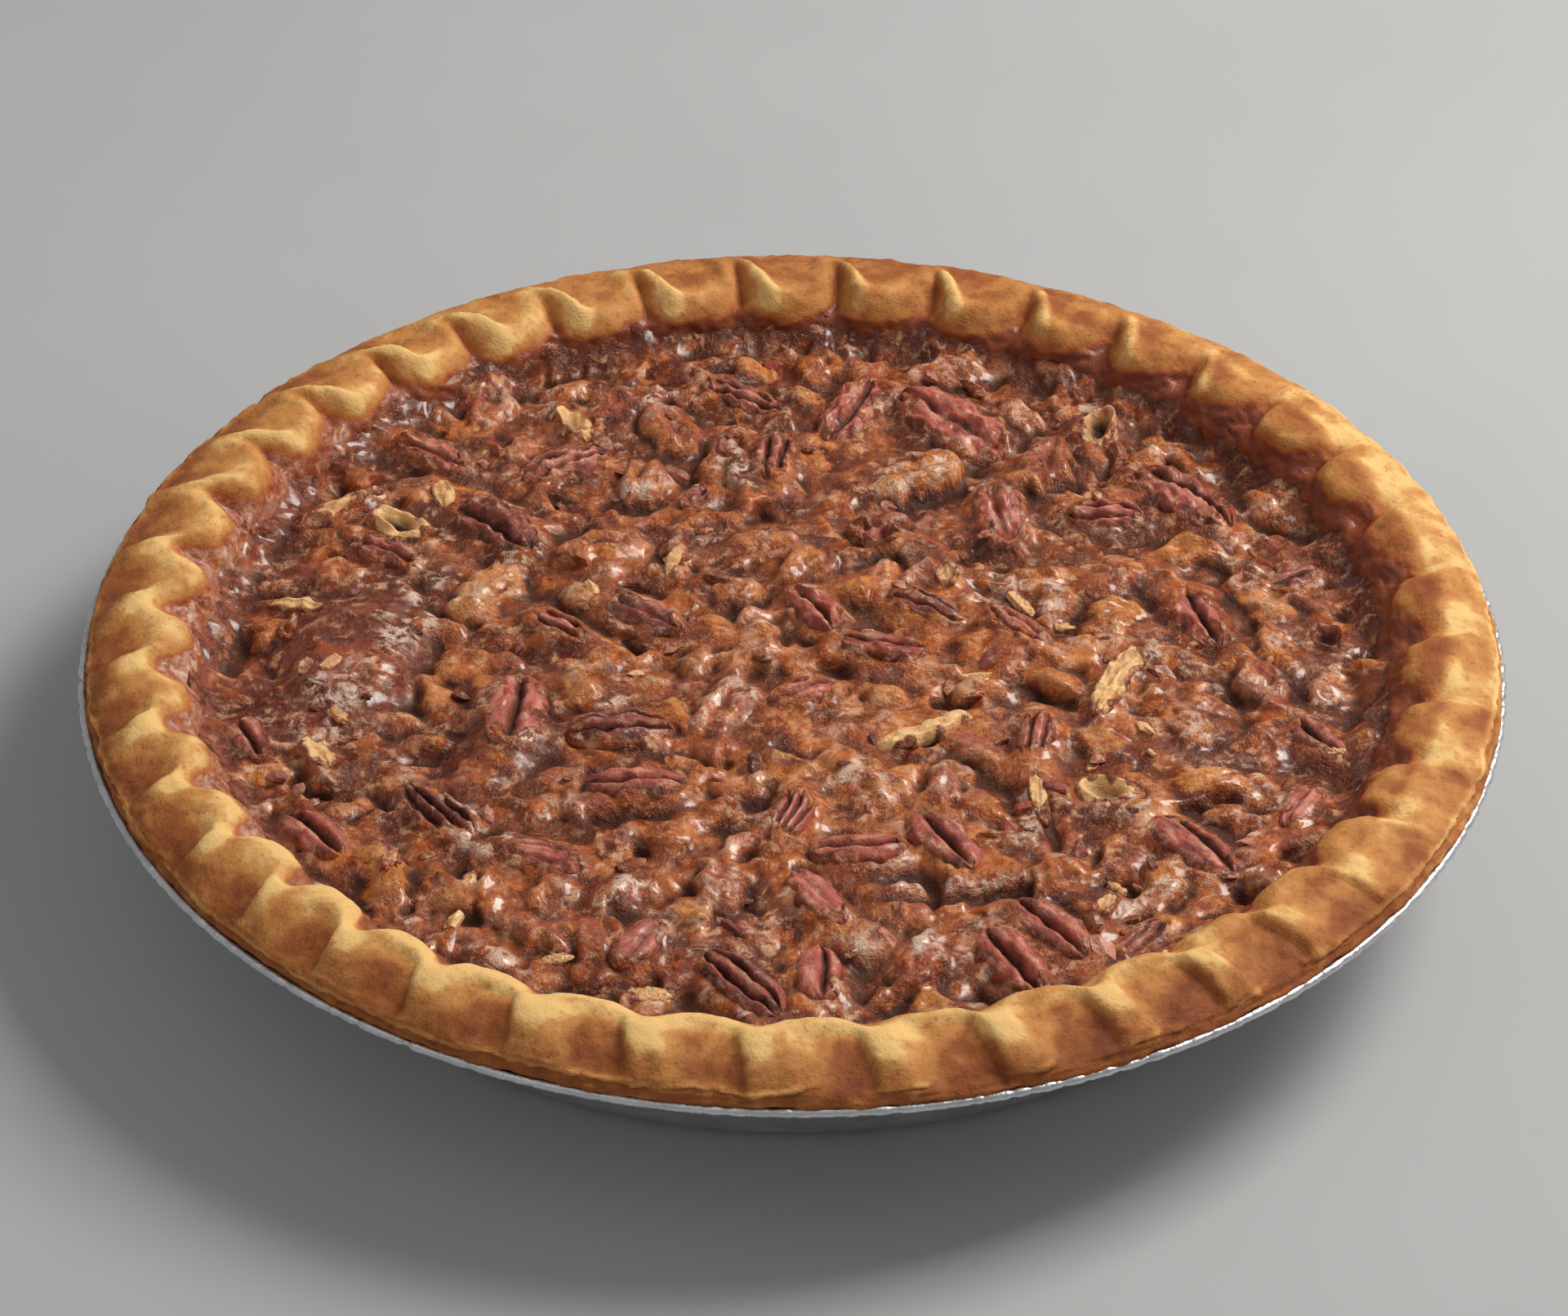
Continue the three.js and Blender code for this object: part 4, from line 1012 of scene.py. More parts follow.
class Nut:
    """One nut: a number that seeds its noise, its kind, the place of its middle, its heading,
    its length, width, height and depth, its slopes along and across, and how it looks."""

    def __init__(self, number, kind, place, heading, size, slopes, look):
        self.number, self.kind, self.heading = number, kind, heading
        self.x, self.y, self.z = place
        self.length, self.width, self.height, self.deep = size
        self.pitch, self.roll = slopes
        self.grooves, self.seam, self.depth, self.dark, self.red, self.pale, self.cover = look
        chance = np.random.default_rng(100 + number).uniform(size=8)
        self.phase, self.bend = 6 * chance[0], 0.16 * (chance[1] - 0.5)
        self.taper = 0.3 * (chance[2] - 0.5)

    def noise(self, x, y, size, seed):
        """Noise of the nut's own."""
        return noise(x, y, size=size, seed=seed + self.number)

    def local(self, x, y):
        """How far along and across the nut a point is."""
        return turned(x - self.x, y - self.y, self.heading)

    def rim(self, u, side=0.0):
        """Half of the outline's width at u: the root of one less the cube of u without its sign, a
        little fuller at one end and uneven by a noise of its own on each side."""
        p, place = u * self.length / 2, 6.0 * np.sign(side) + 20.0
        uneven = 1 + 0.24 * self.noise(p, place, 4.5, 300) + 0.12 * self.noise(p, place, 1.9, 301)
        return np.clip(1 - np.abs(u) ** 3, 0, 1) ** 0.5 * (1 - self.taper * u) * uneven

    def bare(self, x, y, far):
        """Above 1 where syrup covers the nut, below 0 where it is bare: grows towards the edge
        and with a noise."""
        patch = 0.42 * self.noise(x, y, 4.6, 400) + 0.26 * self.noise(x, y, 2.0, 401)
        return (far + patch + self.cover - 0.66) / 0.24

    def top(self, u, t):
        """Height above the nut's own plane and how deep in a groove a point is. u runs from tip
        to tip and t from side to side, both from -1 to 1. A half is a dome, one minus a power of
        t, less one, two or three bell-shaped grooves that wander with a sine of u; a cup is a
        ring round a hollow; a sliver and a chip are uneven domes cut off by a slanting plane."""
        p, q = u * self.length / 2, t * self.width / 2
        along = np.clip(1 - np.abs(u) ** 3, 0, 1) ** 0.42
        dome = np.clip(1 - np.abs(t) ** 2.6, 0, 1) ** 0.5
        seed = 200 + 5 * self.number
        wrinkle = (0.12 * noise(p / 2.2, q, size=1.4, seed=seed)
                   + 0.17 * noise(p, q, size=3.4, seed=seed + 1)
                   + 0.16 * (ridged(p / 1.6, q, 0.0, 2.6, seed + 3) - 0.4))
        wrinkle = wrinkle * mix(0.6, 1.8, smooth(-60, 60, self.y))
        if self.kind == "half":
            seam = self.seam + 0.10 * np.sin(2.3 * u + self.phase)
            lines = {1: (0.0,), 2: (-0.36, 0.34), 3: (-0.52, -0.02, 0.46)}[self.grooves]
            wide, broad = (0.11, 0.42) if self.grooves == 1 else (0.09, 0.24)
            far = np.min([np.abs(t - seam - at - 0.06 * noise(p, at * 9, size=4.0, seed=seed + 2))
                          for at in lines], axis=0)
            tips = np.clip(1 - np.abs(u) ** 5, 0, 1)
            groove = np.exp(-(far / wide) ** 2) * tips
            lobe = 1 - (1 - np.clip(far / broad, 0, 1)) ** 2
            share = along * dome * mix(1 - self.depth, 1.0, mix(1.0, lobe, tips))
            share = share + wrinkle * dome * mix(0.5, 1.0, lobe)
        elif self.kind == "cup":
            far = np.sqrt(u * u + t * t * (1 - 0.6 * u * u))
            ring = np.exp(-((far - 0.72) / 0.24) ** 2)
            ring = ring * (1 + 0.45 * noise(p, q, size=5.0, seed=seed + 2))
            groove = smooth(0.55, 0.15, far + 0.15 * noise(p, q, size=3.0, seed=seed + 3))
            lean = u * np.cos(self.phase) + t * np.sin(self.phase)
            ring = ring * mix(0.35, 1.0, smooth(-0.7, 0.5, lean))
            share = ring * np.minimum(1, 3 * (1 - far).clip(0)) - 0.35 * groove + wrinkle * dome
        else:
            cut = 0.86 + 0.22 * noise(p, q, size=3.5, seed=seed + 2) + 0.25 * t * np.sin(self.phase)
            share = np.minimum(along * dome * 1.25, cut) + 1.6 * wrinkle * dome
            groove = np.exp(-((t - 0.25 * np.sin(2 * u + self.phase)) / 0.16) ** 2) * 0.6
            share = share - self.depth * 0.5 * groove * along
        return self.height * share, groove

    def plane(self, p, q):
        """Height of the nut's own plane, which slopes along and across it."""
        return self.z + p * self.pitch + q * self.roll

    def placed(self, p, q, z):
        """Points from ways along and across the nut and heights."""
        return np.stack((*carried(self.x, self.y, p, q, self.heading), z), -1)

    def surface(self, rows):
        """A closed skin round the nut. Rows run from tip to tip at the sine of even steps,
        columns from one side over the top to the other side and back underneath, where the
        depth goes as the square root of the sine."""
        u = np.sin(0.5 * pi * np.linspace(-1, 1, rows + 2)[1:-1])[:, None]
        turn = (np.linspace(0, pi, NUT_TOP), np.linspace(pi, 2 * pi, NUT_BASE)[1:-1])
        turn = np.concatenate(turn)[None, :]
        u, turn = np.broadcast_arrays(u, turn)
        t, above = np.cos(turn), turn <= pi
        high, groove = self.top(u, t)
        low = -self.deep * np.abs(np.sin(turn)) ** 0.5 * np.clip(1 - u * u, 0, 1) ** 0.4
        rim = self.rim(u, t)
        p = u * self.length / 2
        q = self.width / 2 * rim * t + self.bend * self.width * (u * u - 0.35)
        points = self.placed(p, q, np.where(above, high, low) + self.plane(p, q))
        tip_p, tip_q = np.array((-1, 1)) * self.length / 2, np.full(2, self.bend * self.width * 0.65)
        tips = self.placed(tip_p, tip_q, self.plane(tip_p, tip_q))
        far = np.sqrt(u * u + (t * rim) ** 2)
        pale = np.full_like(p, self.pale)
        if self.kind == "half" and self.pale > 0:
            pale = 4 * self.pale * smooth(0.5, 0.95, u * (0.3 if self.number == BROKEN_SIDE else 1))
        # painted shade on one flank, the side chosen by the nut's heading
        flank = 0.25 * smooth(0.3, 0.95, -t * cos(self.heading))
        bands = rough(p / 3.5, q, size=1.6, octaves=3, seed=520 + self.number)
        smear = smooth(-0.6, 0.8, self.bare(points[..., 0], points[..., 1], far))
        return closed(points, tips, {
            "dark": np.clip(self.dark - 0.3 + flank + 0.25 * self.noise(p, q, 6.0, 500), 0, 1),
            "red": np.full_like(p, self.red),
            "pale": pale,
            "smear": np.clip(smear + ~above, 0, 1),
            # streaks along the nut, painted lighter where it is high and darker where it is low, as
            # light and shade
            "streak_and_shading": np.clip(0.35 + 0.45 * (high / self.height - 0.5) + 0.5 * bands, 0, 1),
            # the grooves, to be painted dark as shade
            "deep": np.clip(groove, 0, 1) ** 0.6 * smooth(0.2, 0.8, self.depth) * above,
        })


def measured_nut(name, node):
    """The nut of a node: the long way of its corners, turned to point to the back of the pie,
    gives the heading, and the corners farthest along and across it give the size and slopes."""
    _, kind, number = name.split("_")
    co = np.empty(len(node.data.vertices) * 3)
    node.data.vertices.foreach_get("co", co)
    co = np.unique(np.round(co.reshape(-1, 3) / MM, 3), axis=0)
    middle = co.mean(0)
    way = np.linalg.svd(co - middle)[2][0]
    heading = np.arctan2(way[1], way[0])
    heading += pi if sin(heading) < -0.02 else 0
    p, q = turned(co[:, 0] - middle[0], co[:, 1] - middle[1], heading)
    length, width = np.ptp(p), np.ptp(q)
    mid_p, mid_q = (p.max() + p.min()) / 2, (q.max() + q.min()) / 2
    z = (co[p.argmin(), 2] + co[p.argmax(), 2]) / 2
    pitch = (co[p.argmax(), 2] - co[p.argmin(), 2]) / length
    roll = (co[q.argmax(), 2] - co[q.argmin(), 2]) / width
    above = co[:, 2] - z - (p - mid_p) * pitch - (q - mid_q) * roll
    place = (*carried(middle[0], middle[1], mid_p, mid_q, heading), z)
    grooves, *shares = LOOKS[int(number) - 1]
    look = (grooves, *(share / 100 for share in shares))
    size = (length, width, above.max(), -above.min())
    return Nut(int(number), kind, place, heading, size, (pitch, roll), look)


KERNELS = [measured_nut(name, node) for name, node in sorted(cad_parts.items())
           if name.startswith("pecan_")]


# ---------------------------------------------------------------- filling

def filler_lumps():
    """Small covered pieces between the others, as rows of x, y, heading, length: points of a
    shaken hexagonal grid that lie clear of every other nut."""
    chance = np.random.default_rng(23)
    taken = [(k.x, k.y, 0.5 * k.length) for k in KERNELS]
    taken += [(x, y, 0.5 * size) for x, y, _, size in COVERED_NUTS]
    taken = np.array(taken + [(x, y, 1.1 * wide) for x, y, _, _, wide, _, _ in SWELLINGS])
    rows = []
    for i in range(-12, 13):
        for j in range(-12, 13):
            x = FILLER_STEPS[0] * (i + 0.5 * (j % 2)) + chance.uniform(-FILLER_SHAKE, FILLER_SHAKE)
            y = FILLER_STEPS[1] * j + chance.uniform(-FILLER_SHAKE, FILLER_SHAKE)
            heading, size = chance.uniform(0, 180), chance.uniform(8.5, 13)
            clear = np.min(np.hypot(taken[:, 0] - x, taken[:, 1] - y) - 0.75 * taken[:, 2])
            if np.hypot(x, y) < FILLER_REACH and clear > 1.5:
                rows.append((x, y, heading, size))
    return rows


def covered_nuts(settings):
    """The nuts under the skin, each with a shape of its own: tilted, grooved, some in chunks."""
    nuts = []
    rows = [(*row, True) for row in COVERED_NUTS] + [(*row, False) for row in filler_lumps()]
    for n, (x, y, heading, length, large) in enumerate(rows):
        chance = np.random.default_rng(900 + n).uniform(size=9)
        low, high, widest = (0.9, 1.15, 0.62) if large else (0.5, 0.85, 0.85)
        height = settings.lump_height / MM * mix(low, high, chance[0])
        width = length * mix(0.5, widest, chance[1])
        z = plain_height(x, y) + mix(-0.9, 0.1, chance[2])
        slopes = (mix(-0.14, 0.14, chance[3]), mix(-0.28, 0.28, chance[4]) * (1 if large else 1.5))
        kind = "half" if large or chance[5] < 0.45 else "chip"
        look = (1 + int(2 * chance[6]), mix(-0.2, 0.2, chance[7]), mix(0.35, 0.6, chance[8]), 0, 0, 0, 0)
        size = (length, width, height, 1.0)
        nuts.append(Nut(600 + n, kind, (x, y, z), radians(heading), size, slopes, look))
    return nuts


def plain_height(x, y):
    """Height of the filling before any nut lifts it: a low dome that falls with the square of
    the share of the way out."""
    return FILL_HEIGHT + FILL_DOME * (1 - np.clip(np.hypot(x, y) / FILL_RADIUS, 0, 1) ** 2) - 0.5


def raise_covered(x, y, z, calm, masks, settings):
    """Lifts the skin over the nuts under it, each with a colour of its own. The rise is how far
    the nut stands out of the skin, squared and divided by itself plus 0.45."""
    for k in covered_nuts(settings):
        near = np.nonzero(np.hypot(x - k.x, y - k.y) < 0.6 * k.length + 2)
        nx, ny = x[near], y[near]
        p, q = k.local(nx, ny)
        p = p + 1.6 * noise(nx, ny, size=4.5, seed=k.number)
        q = q + 1.6 * noise(nx, ny, size=4.5, seed=k.number + 1)
        u = np.clip(p / (0.5 * k.length), -1, 1)
        t = np.clip(q / (0.5 * k.width * np.maximum(k.rim(u, q), 0.02)), -1, 1)
        nut, _ = k.top(u, t)
        inside = smooth(1.0, 0.72, np.maximum(np.abs(t), np.abs(u)))
        rise = np.clip(nut + k.plane(p, q) - z[near], 0, None) * inside * calm[near]
        rise = rise ** 2 / (rise + 0.45)
        z[near] = z[near] + rise
        hold = smooth(0.2, 1.0, rise)
        chance = np.random.default_rng(700 + k.number).uniform(size=4)
        masks["lump"][near] = np.maximum(masks["lump"][near], hold)
        masks["tone"][near] = mix(masks["tone"][near], mix(0.15, 1.1, chance[0]), hold)
        masks["rosy"][near] = mix(masks["rosy"][near], 0.95 * (chance[1] > 0.62), hold)
        # some lumps get a patch of painted highlight
        masks["sheen"][near] = np.maximum(masks["sheen"][near], 0.55 * (chance[2] > 0.75) * hold)


def bed_kernels(x, y, z, wrinkles):
    """Fits the skin to the nuts that show: it climbs each nut's flank, covers its edge as far as
    a noise says, lies under it where it is bare, and sinks in bell-shaped gaps beside it. Gives
    how far it covers a nut and how deep in a gap it is, from 0 to 1."""
    cover, gap = np.zeros_like(x), np.zeros_like(x)
    for k in KERNELS:
        near = np.nonzero(np.hypot(x - k.x, y - k.y) < 0.5 * k.length + 7)
        nx, ny = x[near], y[near]
        p, q = k.local(nx, ny)
        u = p / (0.5 * k.length)
        q = q - k.bend * k.width * (np.clip(u, -1, 1) ** 2 - 0.35)
        rim = np.maximum(k.rim(np.clip(u, -1, 1), q), 0.02)
        t = q / (0.5 * k.width * rim)
        far = np.sqrt(u * u + (q / (0.5 * k.width)) ** 2)
        out = (far - 1) * 0.5 * k.width
        inside = smooth(1.04, 0.97, np.maximum(np.abs(t), np.abs(u)))
        nut, _ = k.top(np.clip(u, -1, 1), np.clip(t, -1, 1))
        nut = nut + k.plane(p, q)
        ragged = noise(nx, ny, size=5.0, seed=400 + k.number)
        over = smooth(0.0, 1.0, k.bare(nx, ny, far))
        bank = k.plane(p, q) + k.height * (0.30 + 0.25 * ragged)
        slope = np.exp(-(np.clip(out, 0, None) / 2.0) ** 2)
        outside = mix(z[near], np.maximum(bank, z[near] - 0.4), slope)
        gulf = smooth(0.05, 0.5, noise(nx, ny, size=6.5, seed=450 + k.number))
        gulf = gulf * np.exp(-((far - 1.03) / 0.09) ** 2)
        outside = outside - 1.3 * gulf
        covered = nut + 0.30 + wrinkles[near] - 0.5 * gulf
        z[near] = mix(outside, mix(nut - 0.9, covered, over), inside)
        cover[near] = np.maximum(cover[near], inside * over)
        gap[near] = np.maximum(gap[near], gulf)
    return cover, gap


def cut_cracks(x, y, z, gap):
    """Sinks the skin along each crack in a furrow that is bell-shaped across its line."""
    for x0, y0, x1, y1, depth, width in CRACKS:
        way = np.array((x1 - x0, y1 - y0), float)
        along = np.clip(((x - x0) * way[0] + (y - y0) * way[1]) / (way @ way), 0, 1)
        off = np.hypot(x - x0 - along * way[0], y - y0 - along * way[1])
        off = off + 0.6 * noise(x, y, size=4.0, seed=111)
        furrow = np.exp(-(off / width) ** 2)
        z -= depth * furrow
        np.maximum(gap, furrow, out=gap)


def skin_relief(x, y, settings):
    """The filling's skin at points x, y: a low dome, swollen in places and broken up into cells
    that slope each its own way, lifted by the covered nuts, crinkled by ridged and plain noises
    and fitted to the nuts that show. At the wall it curls up with the power 1.5 of the share of
    the way. Gives the height, the masks for colour and what bed_kernels gives."""
    r = np.hypot(x, y)
    calm = smooth(110.0, 106.0, r)
    warp_x = x + 2.2 * noise(x, y, size=7.0, seed=101)
    warp_y = y + 2.2 * noise(x, y, size=7.0, seed=102)
    crinkle = settings.crinkle / MM
    folds = ridged(warp_x, warp_y, size=5.5, seed=103) - 0.45
    fine = ridged(warp_x, warp_y, size=2.4, seed=104) - 0.45
    tiny = noise(x, y, size=1.5, seed=105)
    z = plain_height(x, y) + 1.0 * rough(x, y, size=15.0, octaves=2, seed=106) * calm
    chunky = mix(0.2, 1.0, smooth(-0.35, 0.35, rough(x, y, size=17.0, octaves=2, seed=107)))
    front = smooth(-20.0, -75.0, y)
    # sheen: whitish patches of painted highlight, more on the front and the right, where it is sunny
    sunny = np.maximum(front, 0.8 * smooth(10.0, 70.0, x))
    sheen = smooth(mix(0.0, -0.15, sunny), 0.5, rough(x, y, size=13.0, octaves=2, seed=124))
    sheen = mix(0.5, 0.75, sunny) * sheen
    tone = 0.46 * np.exp(-np.hypot(x - 8, y + 8) ** 2 / 48 ** 2) + 0.37 + 0.19 * front
    rosy = 0.5 * smooth(0.1, 0.7, rough(x, y, size=11.0, octaves=2, seed=121))
    for *place, high, rosiness in SWELLINGS:
        far = oval(x, y, *place) + 0.16 * noise(x, y, size=12.0, seed=125)
        z = z + high * smooth(1.05, 0.3, far) * calm
        chunky = chunky * (1 - 0.8 * smooth(1.05, 0.8, far))
        rosy = mix(rosy, 0.7, rosiness * smooth(1.15, 0.8, far))
        tone = mix(tone, -0.35, rosiness * smooth(1.15, 0.8, far))
    # patches of painted highlight at the listed places
    for place in SHEEN_PATCHES:
        far = oval(x, y, *place) + 0.45 * rough(x, y, size=7.0, octaves=2, seed=126)
        sheen = np.maximum(sheen, 1.2 * smooth(1.15, 0.55, far))
    border, shard, slant = cells(warp_x, warp_y + 0.4 * x, 10.5, 108)
    step = 1.1 * (shard - 0.45) * smooth(0.0, 3.4, border) - 0.35 * smooth(1.4, 0.0, border)
    z = z + chunky * calm * step + chunky * calm * 0.42 * slant
    border_2, bit, slant_2 = cells(warp_x + 40, warp_y - 0.3 * x, 4.6, 109)
    small = 0.20 * (bit - 0.4) * smooth(0.0, 1.8, border_2) - 0.10 * smooth(1.1, 0.0, border_2)
    small = (small + 0.18 * slant_2) * mix(0.4, 1.0, chunky) * mix(0.6, 1.0, calm)
    masks = {"lump": np.zeros_like(x), "tone": tone + 0.45 * shard, "rosy": rosy, "sheen": sheen}
    raise_covered(x, y, z, calm, masks, settings)
    z = z + small * mix(1.0, 0.75, masks["lump"])
    z = z + crinkle * (0.9 * folds + 0.8 * fine + 0.5 * tiny) * mix(0.7, 1.0, calm)
    cover, gap = bed_kernels(x, y, z, crinkle * (0.6 * folds + 0.4 * fine))
    cut_cracks(x, y, z, gap)
    curl = np.clip((r - FILL_CURL_RADIUS) / (FILL_EDGE_RADIUS - FILL_CURL_RADIUS), 0, 1)
    high = FILL_EDGE_HEIGHT + 1.1 * rough(x, y, size=8.0, octaves=2, seed=115) - FILL_HEIGHT
    z = z + high * curl ** 1.5
    z = z + 0.9 * crinkle * smooth(0.0, 0.3, curl) * smooth(1.0, 0.8, curl) * (folds + fine)
    # the curl on the lit left side is painted rosy as light
    left = 0.9 * smooth(0.1, 0.6, curl) * facing(np.arctan2(y, x), *LIT_SIDE)
    masks["rosy"] = np.maximum(masks["rosy"], left)
    masks["tone"] = mix(masks["tone"], 0.30, smooth(0.3, 0.9, curl))
    masks["sheen"] = masks["sheen"] * (1 - smooth(0.1, 0.7, curl))
    return z, masks, cover, gap


def neighbours(z):
    """Sum of the four points beside each inner point of a grid."""
    return z[2:, 1:-1] + z[:-2, 1:-1] + z[1:-1, 2:] + z[1:-1, :-2]


def filling_surface(settings):
    """The filling. Its skin is a square grid bent onto a disc, where the larger of the two grid
    numbers gives the radius and their ratio the angle; a wall and a flat underside close it."""
    n = settings.steps
    a, b = np.meshgrid(np.linspace(-1, 1, n), np.linspace(-1, 1, n), indexing="ij")
    wide = np.abs(a) >= np.abs(b)
    radius = np.where(wide, a, b)
    over = np.where(wide, b, a) / np.where(np.abs(radius) < 1e-9, 1, radius)
    angle = np.where(wide, 0.25 * pi * over, 0.5 * pi - 0.25 * pi * over)
    x, y = FILL_EDGE_RADIUS * radius * np.cos(angle), FILL_EDGE_RADIUS * radius * np.sin(angle)
    z, values, cover, gap = skin_relief(x, y, settings)
    for _ in range(SKIN_PASSES):
        z[1:-1, 1:-1] = 0.4 * z[1:-1, 1:-1] + 0.15 * neighbours(z)
    # where it lies below its own smoothed shape it is a hollow
    soft = z.copy()
    for _ in range(HOLLOW_PASSES):
        soft[1:-1, 1:-1] = 0.25 * neighbours(soft)
    hollow = soft - z
    wall = smooth(FILL_CURL_RADIUS, FILL_SHADE_RADIUS, np.hypot(x, y))
    # the hollows, and the gaps and cracks below, are painted dark as shade
    deep = 0.92 * smooth(0.18, 1.05, hollow) * (1 - wall)
    # painted shade on the curl at the wall, all round but the lit left side
    shade = 0.16 * wall * (1 - facing(angle, 184, 75))
    values["deep"] = np.clip(np.maximum(np.maximum(deep, shade), 0.85 * smooth(0.3, 0.9, gap)), 0, 1)
    values["lump"] = np.clip(0.7 * values["lump"] + 0.7 * smooth(-0.1, 0.9, -hollow), 0, 1)
    # painted highlight only on the raised parts
    values["sheen"] = np.clip(values["sheen"] * smooth(-0.5, 0.4, -hollow) * 1.25, 0, 1)
    values["rosy"] = np.maximum(values["rosy"], 0.35 * cover)
    index = np.arange(n * n).reshape(n, n)
    quads = np.stack((index[:-1, :-1], index[1:, :-1], index[1:, 1:], index[:-1, 1:]), -1).reshape(-1, 4)
    loop = np.concatenate((index[:-1, 0], index[-1, :-1], index[:0:-1, -1], index[0, :0:-1]))
    skin = np.stack((x, y, z), -1).reshape(-1, 3)
    way = skin[loop, :2] / np.linalg.norm(skin[loop, :2], axis=1, keepdims=True)
    around, strips, last, first = len(loop), [], loop, len(skin)
    rings = [skin]
    for r, h in FILL_WALL:
        rings.append(np.column_stack((way * r, np.full(around, h))))
        ring = first + np.arange(around)
        strips.append(np.stack((last, np.roll(last, -1), np.roll(ring, -1), ring), -1))
        last, first = ring, first + around
    flat = np.concatenate((*rings, [[0.0, 0.0, FILL_FLOOR]]))
    foot = np.full(around, len(flat) - 1)
    fan = np.stack((last, np.roll(last, -1), foot), -1)
    blank = np.zeros(len(flat) - len(skin))
    values = {key: np.append(grid.ravel(), blank) for key, grid in values.items()}
    return flat, [np.concatenate([quads, *strips]), fan], values


def crumb_surface(height_at):
    """Small crumbs on the skin, each a ball stretched along its heading and roughened by noise,
    with its middle a little above the skin."""
    rows, columns = 12, 16
    ball = unit_ball(rows, columns)
    parts, pale = [], []
    for n, (x, y, length, heading, paleness) in enumerate(CRUMBS):
        place = ball * 1.5
        lump = 1 + 0.5 * rough(place[:, 0], place[:, 1] + 7 * n, place[:, 2], 1.0, 2, 131)
        along, across, up = (ball * lump[:, None] * np.array((0.5, 0.27, 0.16)) * length).T
        up = up + height_at(x, y) + 0.07 * length
        parts.append(np.column_stack((*carried(x, y, along, across, radians(heading)), up)))
        pale.append(np.full(len(ball), 0.5 * paleness + 0.2))
    flat = np.concatenate(parts)
    faces = repeated(ring_faces(rows, columns), len(parts), len(ball))
    values = {"dark": 0.0, "red": 0.6, "smear": 0.4, "deep": 0.0, "streak_and_shading": 0.4}
    values = {key: np.full(len(flat), share) for key, share in values.items()}
    return flat, faces, {"pale": np.concatenate(pale), **values}


def chip_surface(settings):
    """Broken bits of nut all over the skin. Each is a small ball of three rings of six points,
    every point pushed in or out by chance, flattened, turned and tilted by chance, and sunk to
    about its middle; none lies on a nut that shows or at the wall."""
    chance = np.random.default_rng(77)
    x, y = chance.uniform(-BITS_SQUARE, BITS_SQUARE, (2, settings.bits * 3))
    clear = np.hypot(x, y) < BITS_REACH
    for k in KERNELS:
        p, q = k.local(x, y)
        clear &= np.hypot(p / (0.5 * k.length), q / (0.5 * k.width)) > 0.95
    x, y = x[clear][:settings.bits], y[clear][:settings.bits]
    z = skin_relief(x, y, settings)[0]
    count = len(x)
    rings, columns = 3, 6
    ball = unit_ball(rings, columns)
    length = mix(2.4, 8.0, chance.uniform(size=count) ** 1.9)
    across, thick = chance.uniform(0.4, 0.75, count), chance.uniform(0.25, 0.5, count)
    shape = ball[None] * chance.uniform(0.7, 1.3, (count, len(ball), 1))
    shape = shape * 0.5 * np.stack((length, length * across, length * thick), -1)[:, None, :]
    heading = chance.uniform(0, 2 * pi, count)
    pitch, roll = chance.normal(0, 0.30, count), chance.normal(0, 0.45, count)
    for a, b, bend in ((1, 2, roll), (0, 2, pitch), (0, 1, heading)):
        c, s = np.cos(bend)[:, None], np.sin(bend)[:, None]
        p, q = shape[..., a], shape[..., b]
        shape[..., a], shape[..., b] = p * c - q * s, p * s + q * c
    sink = length * thick * mix(-0.05, 0.30, chance.uniform(size=count))
    shape += np.stack((x, y, z - sink + 0.35), -1)[:, None, :]
    faces = repeated(ring_faces(rings, columns), count, len(ball))
    kind = chance.uniform(size=count)
    values = {
        "pale": np.where(kind < 0.10, chance.uniform(0.5, 1.0, count), 0.0),
        "dark": np.where(kind > 0.80, chance.uniform(0.3, 0.9, count), 0.1),
        "red": chance.uniform(0.2, 1.0, count),
        "smear": np.where((kind > 0.10) & (kind < 0.70), 1.0, chance.uniform(0, 0.4, count)),
        "streak_and_shading": chance.uniform(0.3, 0.8, count),
        "deep": np.zeros(count),
    }
    values = {key: np.repeat(numbers, len(ball)) for key, numbers in values.items()}
    return shape.reshape(-1, 3), faces, values


# ---------------------------------------------------------------- operators

class PIE_OT_tin(bpy.types.Operator):
    """Build the foil tin"""
    bl_idname = "pie.tin"
    bl_label = "Foil tin"

    def execute(self, context):
        settings = context.scene.pie_tin
        tin = make_piece("foil_tin", foil_material(settings), *tin_surface(settings))
        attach(tin, "root")
        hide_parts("tin")
        return {"FINISHED"}


class PIE_OT_crust(bpy.types.Operator):
    """Build the crimped pastry"""
    bl_idname = "pie.crust"
    bl_label = "Crust"

    def execute(self, context):
        settings = context.scene.pie_crust
        look = crust_material(settings, context.scene.pie_filling)
        crust = make_piece("crimped_crust", look, *crust_surface(settings))
        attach(crust, "root")
        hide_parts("crust")
        return {"FINISHED"}


class PIE_OT_filling(bpy.types.Operator):
    """Build the filling and the crumbs and broken bits on it"""
    bl_idname = "pie.filling"
    bl_label = "Filling"

    def execute(self, context):
        settings = context.scene.pie_filling
        points, faces, values = filling_surface(settings)
        filling = make_piece("syrup_filling", filling_material(settings), points, faces, values)
        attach(filling, "root")
        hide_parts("filling")
        skin = points[:settings.steps ** 2]

        def height_at(x, y):
            """Height of the skin's nearest point."""
            return skin[np.hypot(skin[:, 0] - x, skin[:, 1] - y).argmin(), 2]

        look = kernel_material("Nut crumbs", context.scene.pie_kernels, settings, 0.3)
        crumbs = make_piece("nut_crumbs", look, *crumb_surface(height_at))
        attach(crumbs, "root")
        bits = make_piece("nut_bits", look, *chip_surface(settings))
        bits.data.shade_flat()
        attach(bits, "root")
        return {"FINISHED"}


